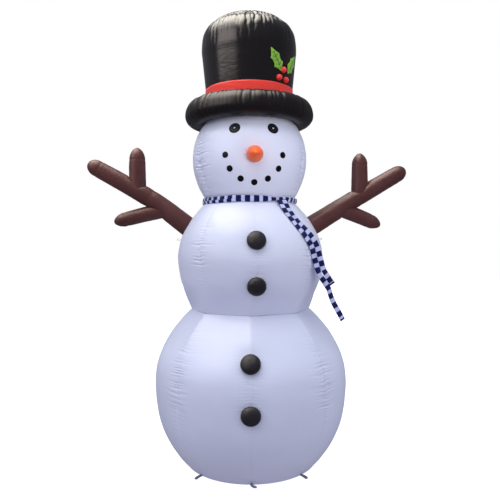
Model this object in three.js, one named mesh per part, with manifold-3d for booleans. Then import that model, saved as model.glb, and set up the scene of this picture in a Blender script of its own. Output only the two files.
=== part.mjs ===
// Inflatable yard snowman, 3.05 m tall, as a scene graph of separate named pieces.
//
// Millimetres, +Z up. The origin is the centre of the base panel's underside, on the ground.
// The snowman faces -Y. Angles round the body are measured from the front towards +X.
// Every skin is a thin open-ended shell sewn to the next one, so the air space inside is one hollow.

import * as THREE from 'three';
import { mergeVertices } from 'three/addons/utils/BufferGeometryUtils.js';
import Module from 'manifold-3d';

const wasm = await Module();
wasm.setup();

// ---------------------------------------------------------------- driving dimensions

const SIDES = 32;            // facets round each skin, four to a gore
const FABRIC = 2.5;          // thickness of a skin
const SEAM_GAP = 0.3;        // gap between two sewn pieces
const TRIM_GAP = 0.4;        // gap under a piece of trim
const TWIST = 4.8;           // degrees that everything above the waist is turned towards +X
const BASE_THICKNESS = 3;

// A ball of the body: its widest ring, and the rings where it is sewn to its neighbours.
// The power shapes the curve from the widest ring to the end ring.
const lowerBall = {
  bottom: { r: 450, z: BASE_THICKNESS + SEAM_GAP, power: 2.7 },
  wide: { r: 656, z: 585 },
  top: { r: 412, z: 1042, power: 2.0 },
};
const middleBall = {
  bottom: { r: 412, z: 1042 + SEAM_GAP, power: 1.8 },
  wide: { r: 500, z: 1410 },
  top: { r: 296, z: 1782, power: 1.9 },
};
const headBall = {
  bottom: { r: 296, z: 1782 + SEAM_GAP, power: 1.9 },
  wide: { r: 392, z: 2056 },
  top: { r: 306, z: 2316, power: 2.4 },
};
const crown = {
  bottom: { r: 285, z: 2397, power: 1.05 },
  wide: { r: 326, z: 2815 },
  top: { r: 0, z: 3050, power: 2.6 },
};
const CROWN_OPENING = 110;   // radius of the panel that closes the crown

// The brim is a puffed ring: its section is made of four quarter ellipses round this centre.
const brim = { r: 369, z: 2364, outward: 73, inward: 88, up: 100, down: 68 };

const band = { low: 2425, high: 2542, thickness: 2 };
const scarf = { r: 322, low: 1758, high: 1806, tailWidth: 40, tailThickness: 3, tailGap: 2 };
const button = { r: 60, height: 38, heights: [1514, 1232, 786, 493] };
const eye = { r: 36, height: 5, z: 2223, angle: 19.7 };
const nose = { r: 53, length: 135, z: 2054, droop: 6 };
const mouth = { dotR: 20, height: 4, dots: 7, across: 190, down: 172 };
const holly = {
  leafAngle: 46, berryAngle: 41, z: 2603, leafLength: 160, leafWidth: 76, lean: 34, berryR: 20,
  roots: { left: [-46, 14], right: [19, 12] },
};

// Each arm: points in the plane through the body's axis, as [distance from the axis, height].
const arms = {
  left: {
    side: -1, shoulder: [432, 1613], elbow: [690, 1806], tip: [1101, 2043],
    upperRoot: [770, 1856], upperTip: [770, 2152], lowerRoot: [581, 1729], lowerTip: [931, 1641],
  },
  right: {
    side: 1, shoulder: [442, 1618], elbow: [764, 1813], tip: [1111, 2013],
    upperRoot: [781, 1822], upperTip: [781, 2126], lowerRoot: [636, 1735], lowerTip: [930, 1613],
  },
};
const arm = { shoulderR: 70, tipR: 56, upperR: 55, lowerR: 50, rootGap: 18 };

const loop = { length: 58, height: 12, width: 16, webbing: 1.6, angles: [0, 45, 135, 180, -135, -45] };
const tab = { length: 26, height: 12, width: 20, z: 1521 };

const blower = { z: 200, fabricHoleR: 92, ductR: 88, wall: 3, depth: 100, flangeR: 118, flangeHeight: 8 };
const zipper = { z: 430, height: 36, halfLength: 200, coilHeight: 8, coilDepth: 3 };
const light = { cableR: 2.5, lampR: 13, lampLength: 42, heights: [620, 1440, 2040] };

// ---------------------------------------------------------------- geometry helpers

const radians = THREE.MathUtils.degToRad;

function radiusAt(ball, z) {
  const end = z < ball.wide.z ? ball.bottom : ball.top;
  const along = THREE.MathUtils.clamp((z - ball.wide.z) / (end.z - ball.wide.z), 0, 1);
  return ball.wide.r - (ball.wide.r - end.r) * along ** end.power;
}

// The profile of a ball from one height to another, as [radius, height] points, closer where it curves.
function profile(ball, low, high, rows) {
  const points = [];
  for (let row = 0; row <= rows; row += 1) {
    const z = ball.wide.z + spread(row / rows, low - ball.wide.z, high - ball.wide.z);
    points.push([radiusAt(ball, z), z]);
  }
  return points;
}

// Runs from low to high with steps that shrink towards both ends.
function spread(share, low, high) {
  const angle = Math.PI * (share - 0.5) * 0.8;
  const even = 0.5 + 0.5 * Math.sin(angle) / Math.sin(Math.PI * 0.4);
  return THREE.MathUtils.lerp(low, high, even);
}

// Moves each point of a profile to its left-hand side, which is the inside of an upward outline.
function inset(points, distance) {
  return points.map(([r, z], index) => {
    const before = points[Math.max(index - 1, 0)];
    const after = points[Math.min(index + 1, points.length - 1)];
    const alongR = after[0] - before[0];
    const alongZ = after[1] - before[1];
    const length = Math.hypot(alongR, alongZ);
    return [r - (distance * alongZ) / length, z + (distance * alongR) / length];
  });
}

function revolve(points, sides = SIDES) {
  const outline = points.map(([r, z]) => new THREE.Vector2(r < 0.01 ? 0 : r, z));
  return new THREE.LatheGeometry(outline, sides).rotateX(Math.PI / 2);
}

// A sewn skin: the outer profile, its inner copy, and flat rims between them.
function skin(points, thickness = FABRIC, sides = SIDES) {
  const inner = inset(points, thickness).reverse();
  return revolve([...points, ...inner, points[0]], sides);
}

// The solid inside a profile, widened all round by a margin, for cutting neighbours to shape.
function filled(points, margin, sides = SIDES) {
  const outer = inset(points, -margin);
  const low = outer[0][1];
  const high = outer[outer.length - 1][1];
  return revolve([[0, low], ...outer, [0, high]], sides);
}

function toSolid(geometry) {
  const bare = geometry.clone();
  bare.deleteAttribute('normal');
  bare.deleteAttribute('uv');
  const merged = mergeVertices(bare, 1e-3);
  const corners = merged.index.array;
  const kept = [];
  for (let i = 0; i < corners.length; i += 3) {
    const [a, b, c] = [corners[i], corners[i + 1], corners[i + 2]];
    if (a !== b && b !== c && c !== a) {
      kept.push(a, b, c);
    }
  }
  return new wasm.Manifold(new wasm.Mesh({
    numProp: 3,
    vertProperties: new Float32Array(merged.attributes.position.array),
    triVerts: new Uint32Array(kept),
  }));
}

function toGeometry(solid) {
  const mesh = solid.getMesh();
  const geometry = new THREE.BufferGeometry();
  geometry.setAttribute('position', new THREE.BufferAttribute(new Float32Array(mesh.vertProperties), 3));
  geometry.setIndex(new THREE.BufferAttribute(new Uint32Array(mesh.triVerts), 1));
  geometry.computeVertexNormals();
  return geometry;
}

function cut(geometry, ...tools) {
  return toGeometry(tools.reduce((solid, tool) => solid.subtract(toSolid(tool)), toSolid(geometry)));
}

function join(first, ...others) {
  return toGeometry(others.reduce((solid, other) => solid.add(toSolid(other)), toSolid(first)));
}

function common(first, second) {
  return toGeometry(toSolid(first).intersect(toSolid(second)));
}

// The outward normal of a ball at a height, as [outward share, upward share].
function normalAt(ball, z) {
  const step = 0.5;
  const slope = (radiusAt(ball, z + step) - radiusAt(ball, z - step)) / (2 * step);
  const length = Math.hypot(1, slope);
  return [1 / length, -slope / length];
}

// Bends a flat piece onto a ball: its x runs round the ball, its y up it and its z away from it.
function layOn(ball, angle, height, geometry, gap = TRIM_GAP) {
  const position = geometry.attributes.position;
  const rise = normalAt(ball, height)[0];
  for (let i = 0; i < position.count; i += 1) {
    const z = height + position.getY(i) * rise;
    const r = radiusAt(ball, z);
    const turn = radians(angle) + position.getX(i) / r;
    const [outward, upward] = normalAt(ball, z);
    const lift = position.getZ(i) + gap;
    const distance = r + outward * lift;
    position.setXYZ(i, distance * Math.sin(turn), -distance * Math.cos(turn), z + upward * lift);
  }
  geometry.computeVertexNormals();
  return geometry;
}

// A puffed round pad with a flat back: rings on the back keep it true when it is bent onto a ball.
function dome(radius, height, sides, rings) {
  const points = [[0, 0], [radius * 0.5, 0], [radius * 0.97, 0]];
  for (let ring = 0; ring <= rings; ring += 1) {
    const angle = (Math.PI / 2) * (ring / rings);
    points.push([radius * Math.cos(angle), height * (0.12 + 0.88 * Math.sin(angle))]);
  }
  return revolve(points, sides);
}

// Stands a piece whose own axis is +Z on the point at an angle, distance and height, leaning outwards.
function standAt(geometry, angle, distance, height, [outward, upward]) {
  geometry.rotateX(Math.atan2(outward, upward));
  geometry.translate(0, -distance, height);
  return geometry.rotateZ(radians(angle));
}

// ---------------------------------------------------------------- the group and its materials

const snowman = new THREE.Group();
const upperBody = new THREE.Group();
upperBody.rotation.z = radians(TWIST);
snowman.add(upperBody);

const looks = {
  snow: { color: 0xd4dcf2, roughness: 0.6, metalness: 0 },
  black: { color: 0x1b1a1d, roughness: 0.45, metalness: 0 },
  brown: { color: 0x54383a, roughness: 0.55, metalness: 0 },
  red: { color: 0xd8392f, roughness: 0.5, metalness: 0 },
  green: { color: 0x6fb52c, roughness: 0.5, metalness: 0 },
  orange: { color: 0xea5c22, roughness: 0.5, metalness: 0 },
  navy: { color: 0x1a1d66, roughness: 0.6, metalness: 0 },
  webbing: { color: 0x8a9296, roughness: 0.7, metalness: 0 },
  plastic: { color: 0x202124, roughness: 0.5, metalness: 0 },
  steel: { color: 0xa7abb0, roughness: 0.35, metalness: 1 },
  zip: { color: 0xdfe3ee, roughness: 0.5, metalness: 0 },
  lamp: { color: 0xf6f1dc, roughness: 0.2, metalness: 0 },
};

function add(group, name, look, geometry) {
  const mesh = new THREE.Mesh(geometry, new THREE.MeshStandardMaterial(looks[look]));
  mesh.name = name;
  group.add(mesh);
}

// ---------------------------------------------------------------- body skins

const BALL_ROWS = 9;
const lowerProfile = profile(lowerBall, lowerBall.bottom.z, lowerBall.top.z, BALL_ROWS);
const middleProfile = profile(middleBall, middleBall.bottom.z, middleBall.top.z, BALL_ROWS - 1);
const headProfile = profile(headBall, headBall.bottom.z, headBall.top.z, BALL_ROWS - 2);

// Where the blower's axis meets the rear of the lower ball.
const blowerSeat = { r: radiusAt(lowerBall, blower.z), normal: normalAt(lowerBall, blower.z) };
const REAR = 180;

function onBlowerAxis(geometry) {
  return standAt(geometry, REAR, blowerSeat.r, blower.z, blowerSeat.normal);
}

function tube(outerR, innerR, low, high, sides) {
  return revolve([[innerR, low], [outerR, low], [outerR, high], [innerR, high], [innerR, low]], sides);
}

function rod(radius, low, high, sides) {
  return revolve([[0, low], [radius, low], [radius, high], [0, high]], sides);
}

function makeBodySkins() {
  const basePanel = rod(lowerBall.bottom.r, 0, BASE_THICKNESS, SIDES);
  add(snowman, 'base_panel', 'snow', basePanel);
  const fanHole = onBlowerAxis(rod(blower.fabricHoleR, -80, 80, 20));
  add(snowman, 'lower_ball_skin', 'snow', cut(skin(lowerProfile), fanHole));
  const armHoles = Object.values(arms).map((one) => alongArm(one.shoulder, one.elbow, one.side, rod(52, -90, 60, 12)));
  add(upperBody, 'middle_ball_skin', 'snow', cut(skin(middleProfile), ...armHoles));
  add(upperBody, 'head_skin', 'snow', skin(headProfile));
}

// ---------------------------------------------------------------- hat

// The brim's section, from its seam with the head round the outside to its seam with the crown.
function brimSection() {
  const start = Math.PI + Math.acos((brim.r - headBall.top.r) / brim.inward);
  const end = 3 * Math.PI - Math.asin((crown.bottom.z - SEAM_GAP - brim.z) / brim.up);
  const steps = 11;
  const points = [];
  for (let step = 0; step <= steps; step += 1) {
    const angle = THREE.MathUtils.lerp(start, end, step / steps);
    const across = Math.cos(angle) > 0 ? brim.outward : brim.inward;
    const tall = Math.sin(angle) > 0 ? brim.up : brim.down;
    points.push([brim.r + across * Math.cos(angle), brim.z + tall * Math.sin(angle)]);
  }
  return points;
}

// The crown's top is a rounded curve, drawn by angle so that it closes evenly.
function crownProfile(innerRadius, outerRadius, rows) {
  const power = 2 / crown.top.power;
  const angleOf = (r) => Math.acos((r / crown.wide.r) ** (1 / power));
  const points = [];
  for (let row = 0; row <= rows; row += 1) {
    const angle = THREE.MathUtils.lerp(angleOf(outerRadius), angleOf(innerRadius), row / rows);
    const height = (crown.top.z - crown.wide.z) * Math.sin(angle) ** power;
    points.push([crown.wide.r * Math.max(Math.cos(angle), 0) ** power, crown.wide.z + height]);
  }
  return points;
}

function hollyLeaf() {
  const { leafLength: long, leafWidth: wide } = holly;
  const spines = [[0.5, 0.28], [0.45, 0.64]];
  const shape = new THREE.Shape();
  shape.moveTo(0, 0);
  shape.quadraticCurveTo(0.2 * wide, 0.14 * long, spines[0][0] * wide, spines[0][1] * long);
  shape.quadraticCurveTo(0.27 * wide, 0.46 * long, spines[1][0] * wide, spines[1][1] * long);
  shape.quadraticCurveTo(0.14 * wide, 0.82 * long, 0, long);
  shape.quadraticCurveTo(-0.14 * wide, 0.82 * long, -spines[1][0] * wide, spines[1][1] * long);
  shape.quadraticCurveTo(-0.27 * wide, 0.46 * long, -spines[0][0] * wide, spines[0][1] * long);
  shape.quadraticCurveTo(-0.2 * wide, 0.14 * long, 0, 0);
  return new THREE.ExtrudeGeometry(shape, { depth: 80, bevelEnabled: false, curveSegments: 4 });
}

function makeHat() {
  add(upperBody, 'hat_brim', 'black', skin(brimSection()));
  const side = profile(crown, crown.bottom.z, crown.wide.z, 4).slice(0, -1);
  const top = crownProfile(CROWN_OPENING, crown.wide.r, 5);
  add(upperBody, 'hat_crown', 'black', skin([...side, ...top]));
  const cap = crownProfile(0, CROWN_OPENING - 3 * SEAM_GAP, 2);
  const capInside = inset(cap, FABRIC).reverse();
  add(upperBody, 'hat_top_panel', 'black', revolve([...capInside, ...cap]));
  const bandOutside = profile(crown, band.low, band.high, 3).map(([r, z]) => [r + TRIM_GAP + band.thickness, z]);
  add(upperBody, 'hat_band', 'red', skin(bandOutside, band.thickness));
  makeHolly();
}

function makeHolly() {
  const leafSheet = profile(crown, band.high + 5, crown.wide.z, 5).map(([r, z]) => [r + TRIM_GAP + 2, z]);
  const sheet = skin(leafSheet, 2);
  for (const [name, side] of [['left', -1], ['right', 1]]) {
    const leaf = hollyLeaf();
    leaf.rotateZ(radians(-side * holly.lean));
    leaf.translate(...holly.roots[name], -40);
    const placed = standAt(leaf, holly.leafAngle, crown.wide.r, holly.z, [1, 0]);
    add(upperBody, `holly_leaf_${name}`, 'green', common(placed, sheet));
  }
  const berries = [[0, 24], [-34, -30], [30, -34]];
  berries.forEach(([across, up], index) => {
    const berry = dome(holly.berryR, 24, 12, 3).translate(across, up, 0);
    add(upperBody, `holly_berry_${index + 1}`, 'red', layOn(crown, holly.berryAngle, holly.z, berry, 3));
  });
}

// ---------------------------------------------------------------- face and buttons

function makeFace() {
  for (const [name, angle] of [['eye_left', -eye.angle], ['eye_right', eye.angle]]) {
    add(upperBody, name, 'black', layOn(headBall, angle, eye.z, dome(eye.r, eye.height, 16, 3)));
  }
  const cone = [[0, -20], [nose.r, -20], [nose.r, 0]];
  const rings = 4;
  for (let ring = 1; ring <= rings; ring += 1) {
    const share = ring / rings;
    cone.push([nose.r * (1 - share ** 1.6), nose.length * share]);
  }
  const lean = [Math.cos(radians(nose.droop)), -Math.sin(radians(nose.droop))];
  const carrot = standAt(revolve(cone, 16), 0, radiusAt(headBall, nose.z), nose.z, lean);
  add(upperBody, 'nose', 'orange', cut(carrot, filled(headProfile, TRIM_GAP)));
  for (let dot = 0; dot < mouth.dots; dot += 1) {
    const swing = radians((180 * dot) / (mouth.dots - 1));
    const z = nose.z - mouth.down * Math.sin(swing);
    const angle = THREE.MathUtils.radToDeg((-mouth.across * Math.cos(swing)) / headBall.wide.r);
    const pad = layOn(headBall, angle, z, dome(mouth.dotR, mouth.height, 12, 2));
    add(upperBody, `mouth_dot_${dot + 1}`, 'black', pad);
  }
}

function makeButtons() {
  button.heights.forEach((z, index) => {
    const ball = z > middleBall.bottom.z ? middleBall : lowerBall;
    const group = ball === middleBall ? upperBody : snowman;
    const pad = layOn(ball, 0, z, dome(button.r, button.height, 20, 4));
    add(group, `button_${index + 1}`, 'black', pad);
  });
}

// ---------------------------------------------------------------- scarf

// The wrap fills the crease of the neck: its back follows both balls and its front is slightly bowed.
function scarfWrap() {
  const clear = 1.5;
  const middle = (scarf.low + scarf.high) / 2;
  const back = [scarf.high, headBall.bottom.z + 12, headBall.bottom.z - 12, scarf.low].map((z) => {
    const under = z > headBall.bottom.z ? radiusAt(headBall, z) : radiusAt(middleBall, z);
    return [under + clear, z];
  });
  const front = [[scarf.r, scarf.low + 6], [scarf.r + 4, middle], [scarf.r, scarf.high - 6]];
  return revolve([...front, ...back, front[0]]);
}

// The middle line of the two tails: [angle, distance from the axis, height, angle that they face].
function tailLine() {
  const rest = (z) => radiusAt(middleBall, z) + 7;
  return [
    [33.8, scarf.r + 9, 1778, 33.8],
    [35.9, rest(1695) + 2, 1695, 35.9],
    [39.4, rest(1628), 1628, 39.4],
    [44.8, rest(1556), 1556, 44.8],
    [49.2, rest(1490), 1490, 49.2],
    [51.2, rest(1430) + 1, 1430, 50],
    [52.4, 526, 1362, 40],
    [53.3, 550, 1300, 33],
    [57.2, 588, 1218, 28],
    [59.9, 624, 1111, 27],
    [62.4, 671, 1004, 26],
  ];
}

// Both tails follow the middle line side by side: offset is the tail's place across it.
function scarfTail(offset, end) {
  const stations = tailLine();
  const middle = new THREE.CatmullRomCurve3(stations.map(([angle, r, z]) => (
    new THREE.Vector3(r * Math.sin(radians(angle)), -r * Math.cos(radians(angle)), z))));
  const facing = (share) => {
    const at = share * (stations.length - 1);
    const before = Math.min(Math.floor(at), stations.length - 2);
    return THREE.MathUtils.lerp(stations[before][3], stations[before + 1][3], at - before);
  };
  const strip = new THREE.BoxGeometry(scarf.tailWidth, scarf.tailThickness, 1, 1, 1, 24);
  const position = strip.attributes.position;
  for (let i = 0; i < position.count; i += 1) {
    const share = (position.getZ(i) + 0.5) * end;
    const turn = radians(facing(share));
    const point = middle.getPoint(share);
    const [level, upward] = normalAt(middleBall, Math.max(point.z, middleBall.wide.z));
    const outward = new THREE.Vector3(level * Math.sin(turn), -level * Math.cos(turn), upward);
    const along = middle.getTangent(share);
    const across = new THREE.Vector3().crossVectors(outward, along).normalize();
    outward.crossVectors(along, across);
    point.addScaledVector(across, position.getX(i) + offset);
    point.addScaledVector(outward, position.getY(i));
    position.setXYZ(i, point.x, point.y, point.z);
  }
  return strip;
}

function makeScarf() {
  add(upperBody, 'scarf_wrap', 'navy', scarfWrap());
  const offset = (scarf.tailWidth + scarf.tailGap) / 2;
  add(upperBody, 'scarf_tail_long', 'navy', scarfTail(-offset, 1));
  add(upperBody, 'scarf_tail_short', 'navy', scarfTail(offset, 0.81));
}

// ---------------------------------------------------------------- arms

function inArmPlane([out, z], side) {
  return new THREE.Vector3(side * out, 0, z);
}

// Sweeps a revolved sleeve, whose axis is +Z from 0 to its length, along a path in the arm's plane.
function sweepSleeve(geometry, path, length) {
  const position = geometry.attributes.position;
  const sideways = new THREE.Vector3(0, 1, 0);
  for (let i = 0; i < position.count; i += 1) {
    const share = THREE.MathUtils.clamp(position.getZ(i) / length, 0, 1);
    const along = path.getTangentAt(share);
    const point = path.getPointAt(share);
    point.addScaledVector(sideways, position.getX(i));
    point.addScaledVector(new THREE.Vector3().crossVectors(along, sideways), position.getY(i));
    point.addScaledVector(along, position.getZ(i) - share * length);
    position.setXYZ(i, point.x, point.y, point.z);
  }
  return geometry;
}

// Places a piece whose axis is +Z at a point of the arm, pointing towards another.
function alongArm(from, to, side, geometry) {
  const start = inArmPlane(from, side);
  const finish = inArmPlane(to, side);
  const turn = new THREE.Quaternion();
  turn.setFromUnitVectors(new THREE.Vector3(0, 0, 1), finish.sub(start).normalize());
  geometry.applyQuaternion(turn);
  return geometry.translate(start.x, start.y, start.z);
}

// A sleeve's outer profile: it narrows a little from root to tip and ends in a blunt rounded tip.
function sleeveProfile(rootR, tipR, length, rows) {
  const points = [];
  const straight = length - tipR * 0.8;
  for (let row = 0; row <= rows; row += 1) {
    points.push([THREE.MathUtils.lerp(rootR, tipR, row / rows), (straight * row) / rows]);
  }
  const rings = 3;
  for (let ring = 1; ring <= rings; ring += 1) {
    const angle = (Math.PI / 2) * (ring / rings);
    const r = ring === rings ? 0 : tipR * Math.cos(angle) ** 0.8;
    points.push([r, straight + tipR * 0.8 * Math.sin(angle)]);
  }
  return points;
}

function sleeve(rootR, tipR, length, rows, sides) {
  const outside = sleeveProfile(rootR, tipR, length, rows);
  const inside = sleeveProfile(rootR - FABRIC, tipR - FABRIC, length - FABRIC, rows).reverse();
  return revolve([...inside, ...outside], sides);
}

function makeArm(name, { side, shoulder, elbow, tip, upperRoot, upperTip, lowerRoot, lowerTip }) {
  const [inX, inZ] = [shoulder[0] * 2 - elbow[0], shoulder[1] * 2 - elbow[1]];
  const start = [shoulder[0] * 0.75 + inX * 0.25, shoulder[1] * 0.75 + inZ * 0.25];
  const path = new THREE.CatmullRomCurve3([start, elbow, tip].map((point) => inArmPlane(point, side)));
  const length = path.getLength();
  const bodySpace = filled(middleProfile, arm.rootGap);
  const limbSpace = sweepSleeve(
    revolve([[0, 0], ...sleeveProfile(arm.shoulderR + TRIM_GAP, arm.tipR + TRIM_GAP, length, 6)], 16), path, length);
  const twigs = [
    ['upper_twig', upperRoot, upperTip, arm.upperR],
    ['lower_twig', lowerRoot, lowerTip, arm.lowerR],
  ];
  const airHoles = twigs.map(([, root, end, r]) => alongArm(root, end, side, rod(r - 12, 0, 110, 10)));
  const limb = sweepSleeve(sleeve(arm.shoulderR, arm.tipR, length, 6, 16), path, length);
  add(upperBody, `${name}_arm_limb`, 'brown', cut(limb, bodySpace, ...airHoles));
  for (const [kind, root, end, r] of twigs) {
    const reach = Math.hypot(end[0] - root[0], end[1] - root[1]);
    const twig = alongArm(root, end, side, sleeve(r + 3, r, reach, 2, 12));
    add(upperBody, `${name}_arm_${kind}`, 'brown', cut(twig, limbSpace));
  }
}

// ---------------------------------------------------------------- tether loops

// A strip of webbing folded back on itself: both ends meet the skin and the fold stands out from it.
function webbingLoop(size, ball, z, sides) {
  const half = size.height / 2;
  const outer = new THREE.Shape();
  outer.moveTo(0, -half);
  outer.lineTo(size.length - half, -half);
  outer.absarc(size.length - half, 0, half, -Math.PI / 2, Math.PI / 2, false);
  outer.lineTo(0, half);
  outer.closePath();
  const innerHalf = half - loop.webbing;
  const gap = new THREE.Path();
  gap.moveTo(loop.webbing, -innerHalf);
  gap.lineTo(size.length - half, -innerHalf);
  gap.absarc(size.length - half, 0, innerHalf, -Math.PI / 2, Math.PI / 2, false);
  gap.lineTo(loop.webbing, innerHalf);
  gap.closePath();
  outer.holes.push(gap);
  const strip = new THREE.ExtrudeGeometry(outer, { depth: size.width, bevelEnabled: false, curveSegments: 4 });
  strip.translate(0, 0, -size.width / 2);
  strip.rotateX(Math.PI / 2);
  strip.rotateZ(-Math.PI / 2);
  strip.translate(0, -sides.start, z);
  const panelSpace = rod(lowerBall.bottom.r + TRIM_GAP, -1, BASE_THICKNESS + TRIM_GAP, SIDES);
  return cut(strip, filled(ball, TRIM_GAP), panelSpace);
}

function makeTethers() {
  const onGround = loop.height / 2 + SEAM_GAP;
  loop.angles.forEach((angle, index) => {
    const strip = webbingLoop(loop, lowerProfile, onGround, { start: lowerBall.bottom.r - 6 });
    add(snowman, `tether_loop_${index + 1}`, 'webbing', strip.rotateZ(radians(angle)));
  });
  for (const [name, angle] of [['left', -90], ['right', 90]]) {
    const start = radiusAt(middleBall, tab.z) - 6;
    const strip = webbingLoop({ ...tab, length: tab.length + 6 }, middleProfile, tab.z, { start });
    add(upperBody, `tether_tab_${name}`, 'webbing', strip.rotateZ(radians(angle)));
  }
}

// ---------------------------------------------------------------- blower

function makeBlower() {
  const { ductR, wall, depth, flangeR, flangeHeight } = blower;
  const flange = tube(flangeR, ductR - wall, -16, flangeHeight, 24);
  const seatCut = cut(onBlowerAxis(flange), filled(lowerProfile, TRIM_GAP));
  const duct = onBlowerAxis(tube(ductR, ductR - wall, -depth, flangeHeight, 24));
  add(snowman, 'blower_housing', 'plastic', join(duct, seatCut));

  const grilleLow = flangeHeight + SEAM_GAP;
  const grilleHigh = grilleLow + 4;
  const rings = [ductR + 9, 68, 40].map((r) => tube(r, r - 5, grilleLow, grilleHigh, 20));
  const bars = [0, 60, 120].map((angle) => {
    const bar = new THREE.BoxGeometry(2 * ductR + 14, 5, 4);
    return bar.translate(0, 0, grilleLow + 2).rotateZ(radians(angle));
  });
  const hub = rod(14, grilleLow, grilleHigh, 12);
  add(snowman, 'intake_grille', 'plastic', onBlowerAxis(join(hub, ...rings, ...bars)));

  const fanHigh = -8;
  const fanLow = -34;
  const blades = Array.from({ length: 5 }, (_, index) => {
    const blade = new THREE.BoxGeometry(64, 30, 2.5);
    return blade.rotateX(radians(35)).translate(46, 0, (fanHigh + fanLow) / 2).rotateZ(radians(72 * index));
  });
  const fanHub = rod(20, fanLow, fanHigh, 14);
  add(snowman, 'impeller', 'plastic', onBlowerAxis(join(fanHub, ...blades)));

  const motor = join(rod(32, -96, -46, 20), rod(4, -47, fanLow - SEAM_GAP, 8));
  add(snowman, 'fan_motor', 'steel', onBlowerAxis(motor));

  const clamp = tube(37, 32 + SEAM_GAP, -88, -60, 20);
  const reach = ductR - wall - 2 - 35;
  const struts = [30, 150, 270].map((angle) => {
    const strut = new THREE.BoxGeometry(reach, 8, 14);
    return strut.translate(35 + reach / 2, 0, -74).rotateZ(radians(angle));
  });
  add(snowman, 'motor_bracket', 'plastic', onBlowerAxis(join(clamp, ...struts)));

  const gland = revolve([[3.5, 0], [8, 0], [8, 6], [6, 10], [6, 26], [3.5, 26], [3.5, 0]], 12);
  gland.translate(ductR + 21, 0, grilleLow);
  add(snowman, 'cord_gland', 'plastic', onBlowerAxis(gland));
}

// ---------------------------------------------------------------- rear zipper

// A band that follows the lower ball between two heights, standing off it by a distance.
function bandOnBall(low, high, standOff, thickness) {
  const line = profile(lowerBall, low, high, 2).map(([r, z]) => [r + standOff + thickness, z]);
  return skin(line, thickness, 2 * SIDES);
}

function rearBox(halfLength) {
  return new THREE.BoxGeometry(2 * halfLength, 400, 200).translate(0, lowerBall.wide.r, zipper.z);
}

function makeZipper() {
  const tapeHalf = zipper.height / 2;
  const tape = common(bandOnBall(zipper.z - tapeHalf, zipper.z + tapeHalf, TRIM_GAP, 1.6), rearBox(zipper.halfLength));
  add(snowman, 'zipper_tape', 'zip', tape);
  const coilHalf = zipper.coilHeight / 2;
  const coilStandOff = TRIM_GAP + 1.6 + SEAM_GAP;
  const coilBand = bandOnBall(zipper.z - coilHalf, zipper.z + coilHalf, coilStandOff, zipper.coilDepth);
  add(snowman, 'zipper_coil', 'zip', common(coilBand, rearBox(zipper.halfLength - 10)));

  // The slider starts at the +X end of the coil, and runs to the other end round the body's axis.
  const coilOuter = radiusAt(lowerBall, zipper.z) + coilStandOff + zipper.coilDepth;
  const sliderAngle = REAR - THREE.MathUtils.radToDeg(Math.asin((zipper.halfLength - 24) / coilOuter));
  const body = new THREE.BoxGeometry(20, 8, 16).translate(0, -(coilOuter + 2.5), zipper.z);
  const coilSpace = bandOnBall(zipper.z - coilHalf - 0.8, zipper.z + coilHalf + 0.8, -6, coilStandOff + 10);
  const turned = body.rotateZ(radians(sliderAngle));
  add(snowman, 'zipper_slider', 'steel', cut(turned, coilSpace));
  const pull = new THREE.BoxGeometry(9, 2, 34).translate(0, -(coilOuter + 8.5), zipper.z - 14);
  add(snowman, 'zipper_pull', 'steel', pull.rotateZ(radians(sliderAngle)));
}

// ---------------------------------------------------------------- inside light string

// The cable is tied along the rear seam, inside the skins, from the fan motor up to the head.
function makeLights() {
  const route = [
    [496, 243], [470, 258], [462, 320], [510, 400], [582, 490], [618, 600], [598, 730], [540, 860],
    [455, 965], [386, 1042], [418, 1130], [456, 1240], [476, 1400], [456, 1520], [396, 1635],
    [316, 1725], [268, 1785], [302, 1860], [344, 1950], [362, 2050], [346, 2170],
  ].map(([y, z]) => new THREE.Vector3(0, y, z));
  const path = new THREE.CatmullRomCurve3(route);
  const section = new THREE.Shape();
  section.absarc(0, 0, light.cableR, 0, 2 * Math.PI, false);
  const options = { steps: 44, bevelEnabled: false, extrudePath: path, curveSegments: 4 };
  add(snowman, 'light_cable', 'webbing', new THREE.ExtrudeGeometry(section, options));
  light.heights.forEach((z, index) => {
    const onPath = path.getPoints(600).reduce((best, point) => (
      Math.abs(point.z - z) < Math.abs(best.z - z) ? point : best));
    const { lampR, lampLength } = light;
    const bulb = [[0, 0], [8, 0], [8, 14], [lampR, 22], [lampR * 0.8, 34], [0, lampLength]];
    const lamp = revolve(bulb, 10).rotateX(Math.PI / 2);
    lamp.translate(0, onPath.y - light.cableR - 2, z);
    add(snowman, `lamp_${index + 1}`, 'lamp', lamp);
  });
}

makeBodySkins();
makeHat();
makeFace();
makeButtons();
makeScarf();
makeArm('left', arms.left);
makeArm('right', arms.right);
makeTethers();
makeBlower();
makeZipper();
makeLights();

export default snowman;
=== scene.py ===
"""Looks of the inflatable yard snowman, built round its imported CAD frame.

Metres, +Z up, and the snowman faces -Y. Angles round the body are measured from the front towards +X.
"""

import math

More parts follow.
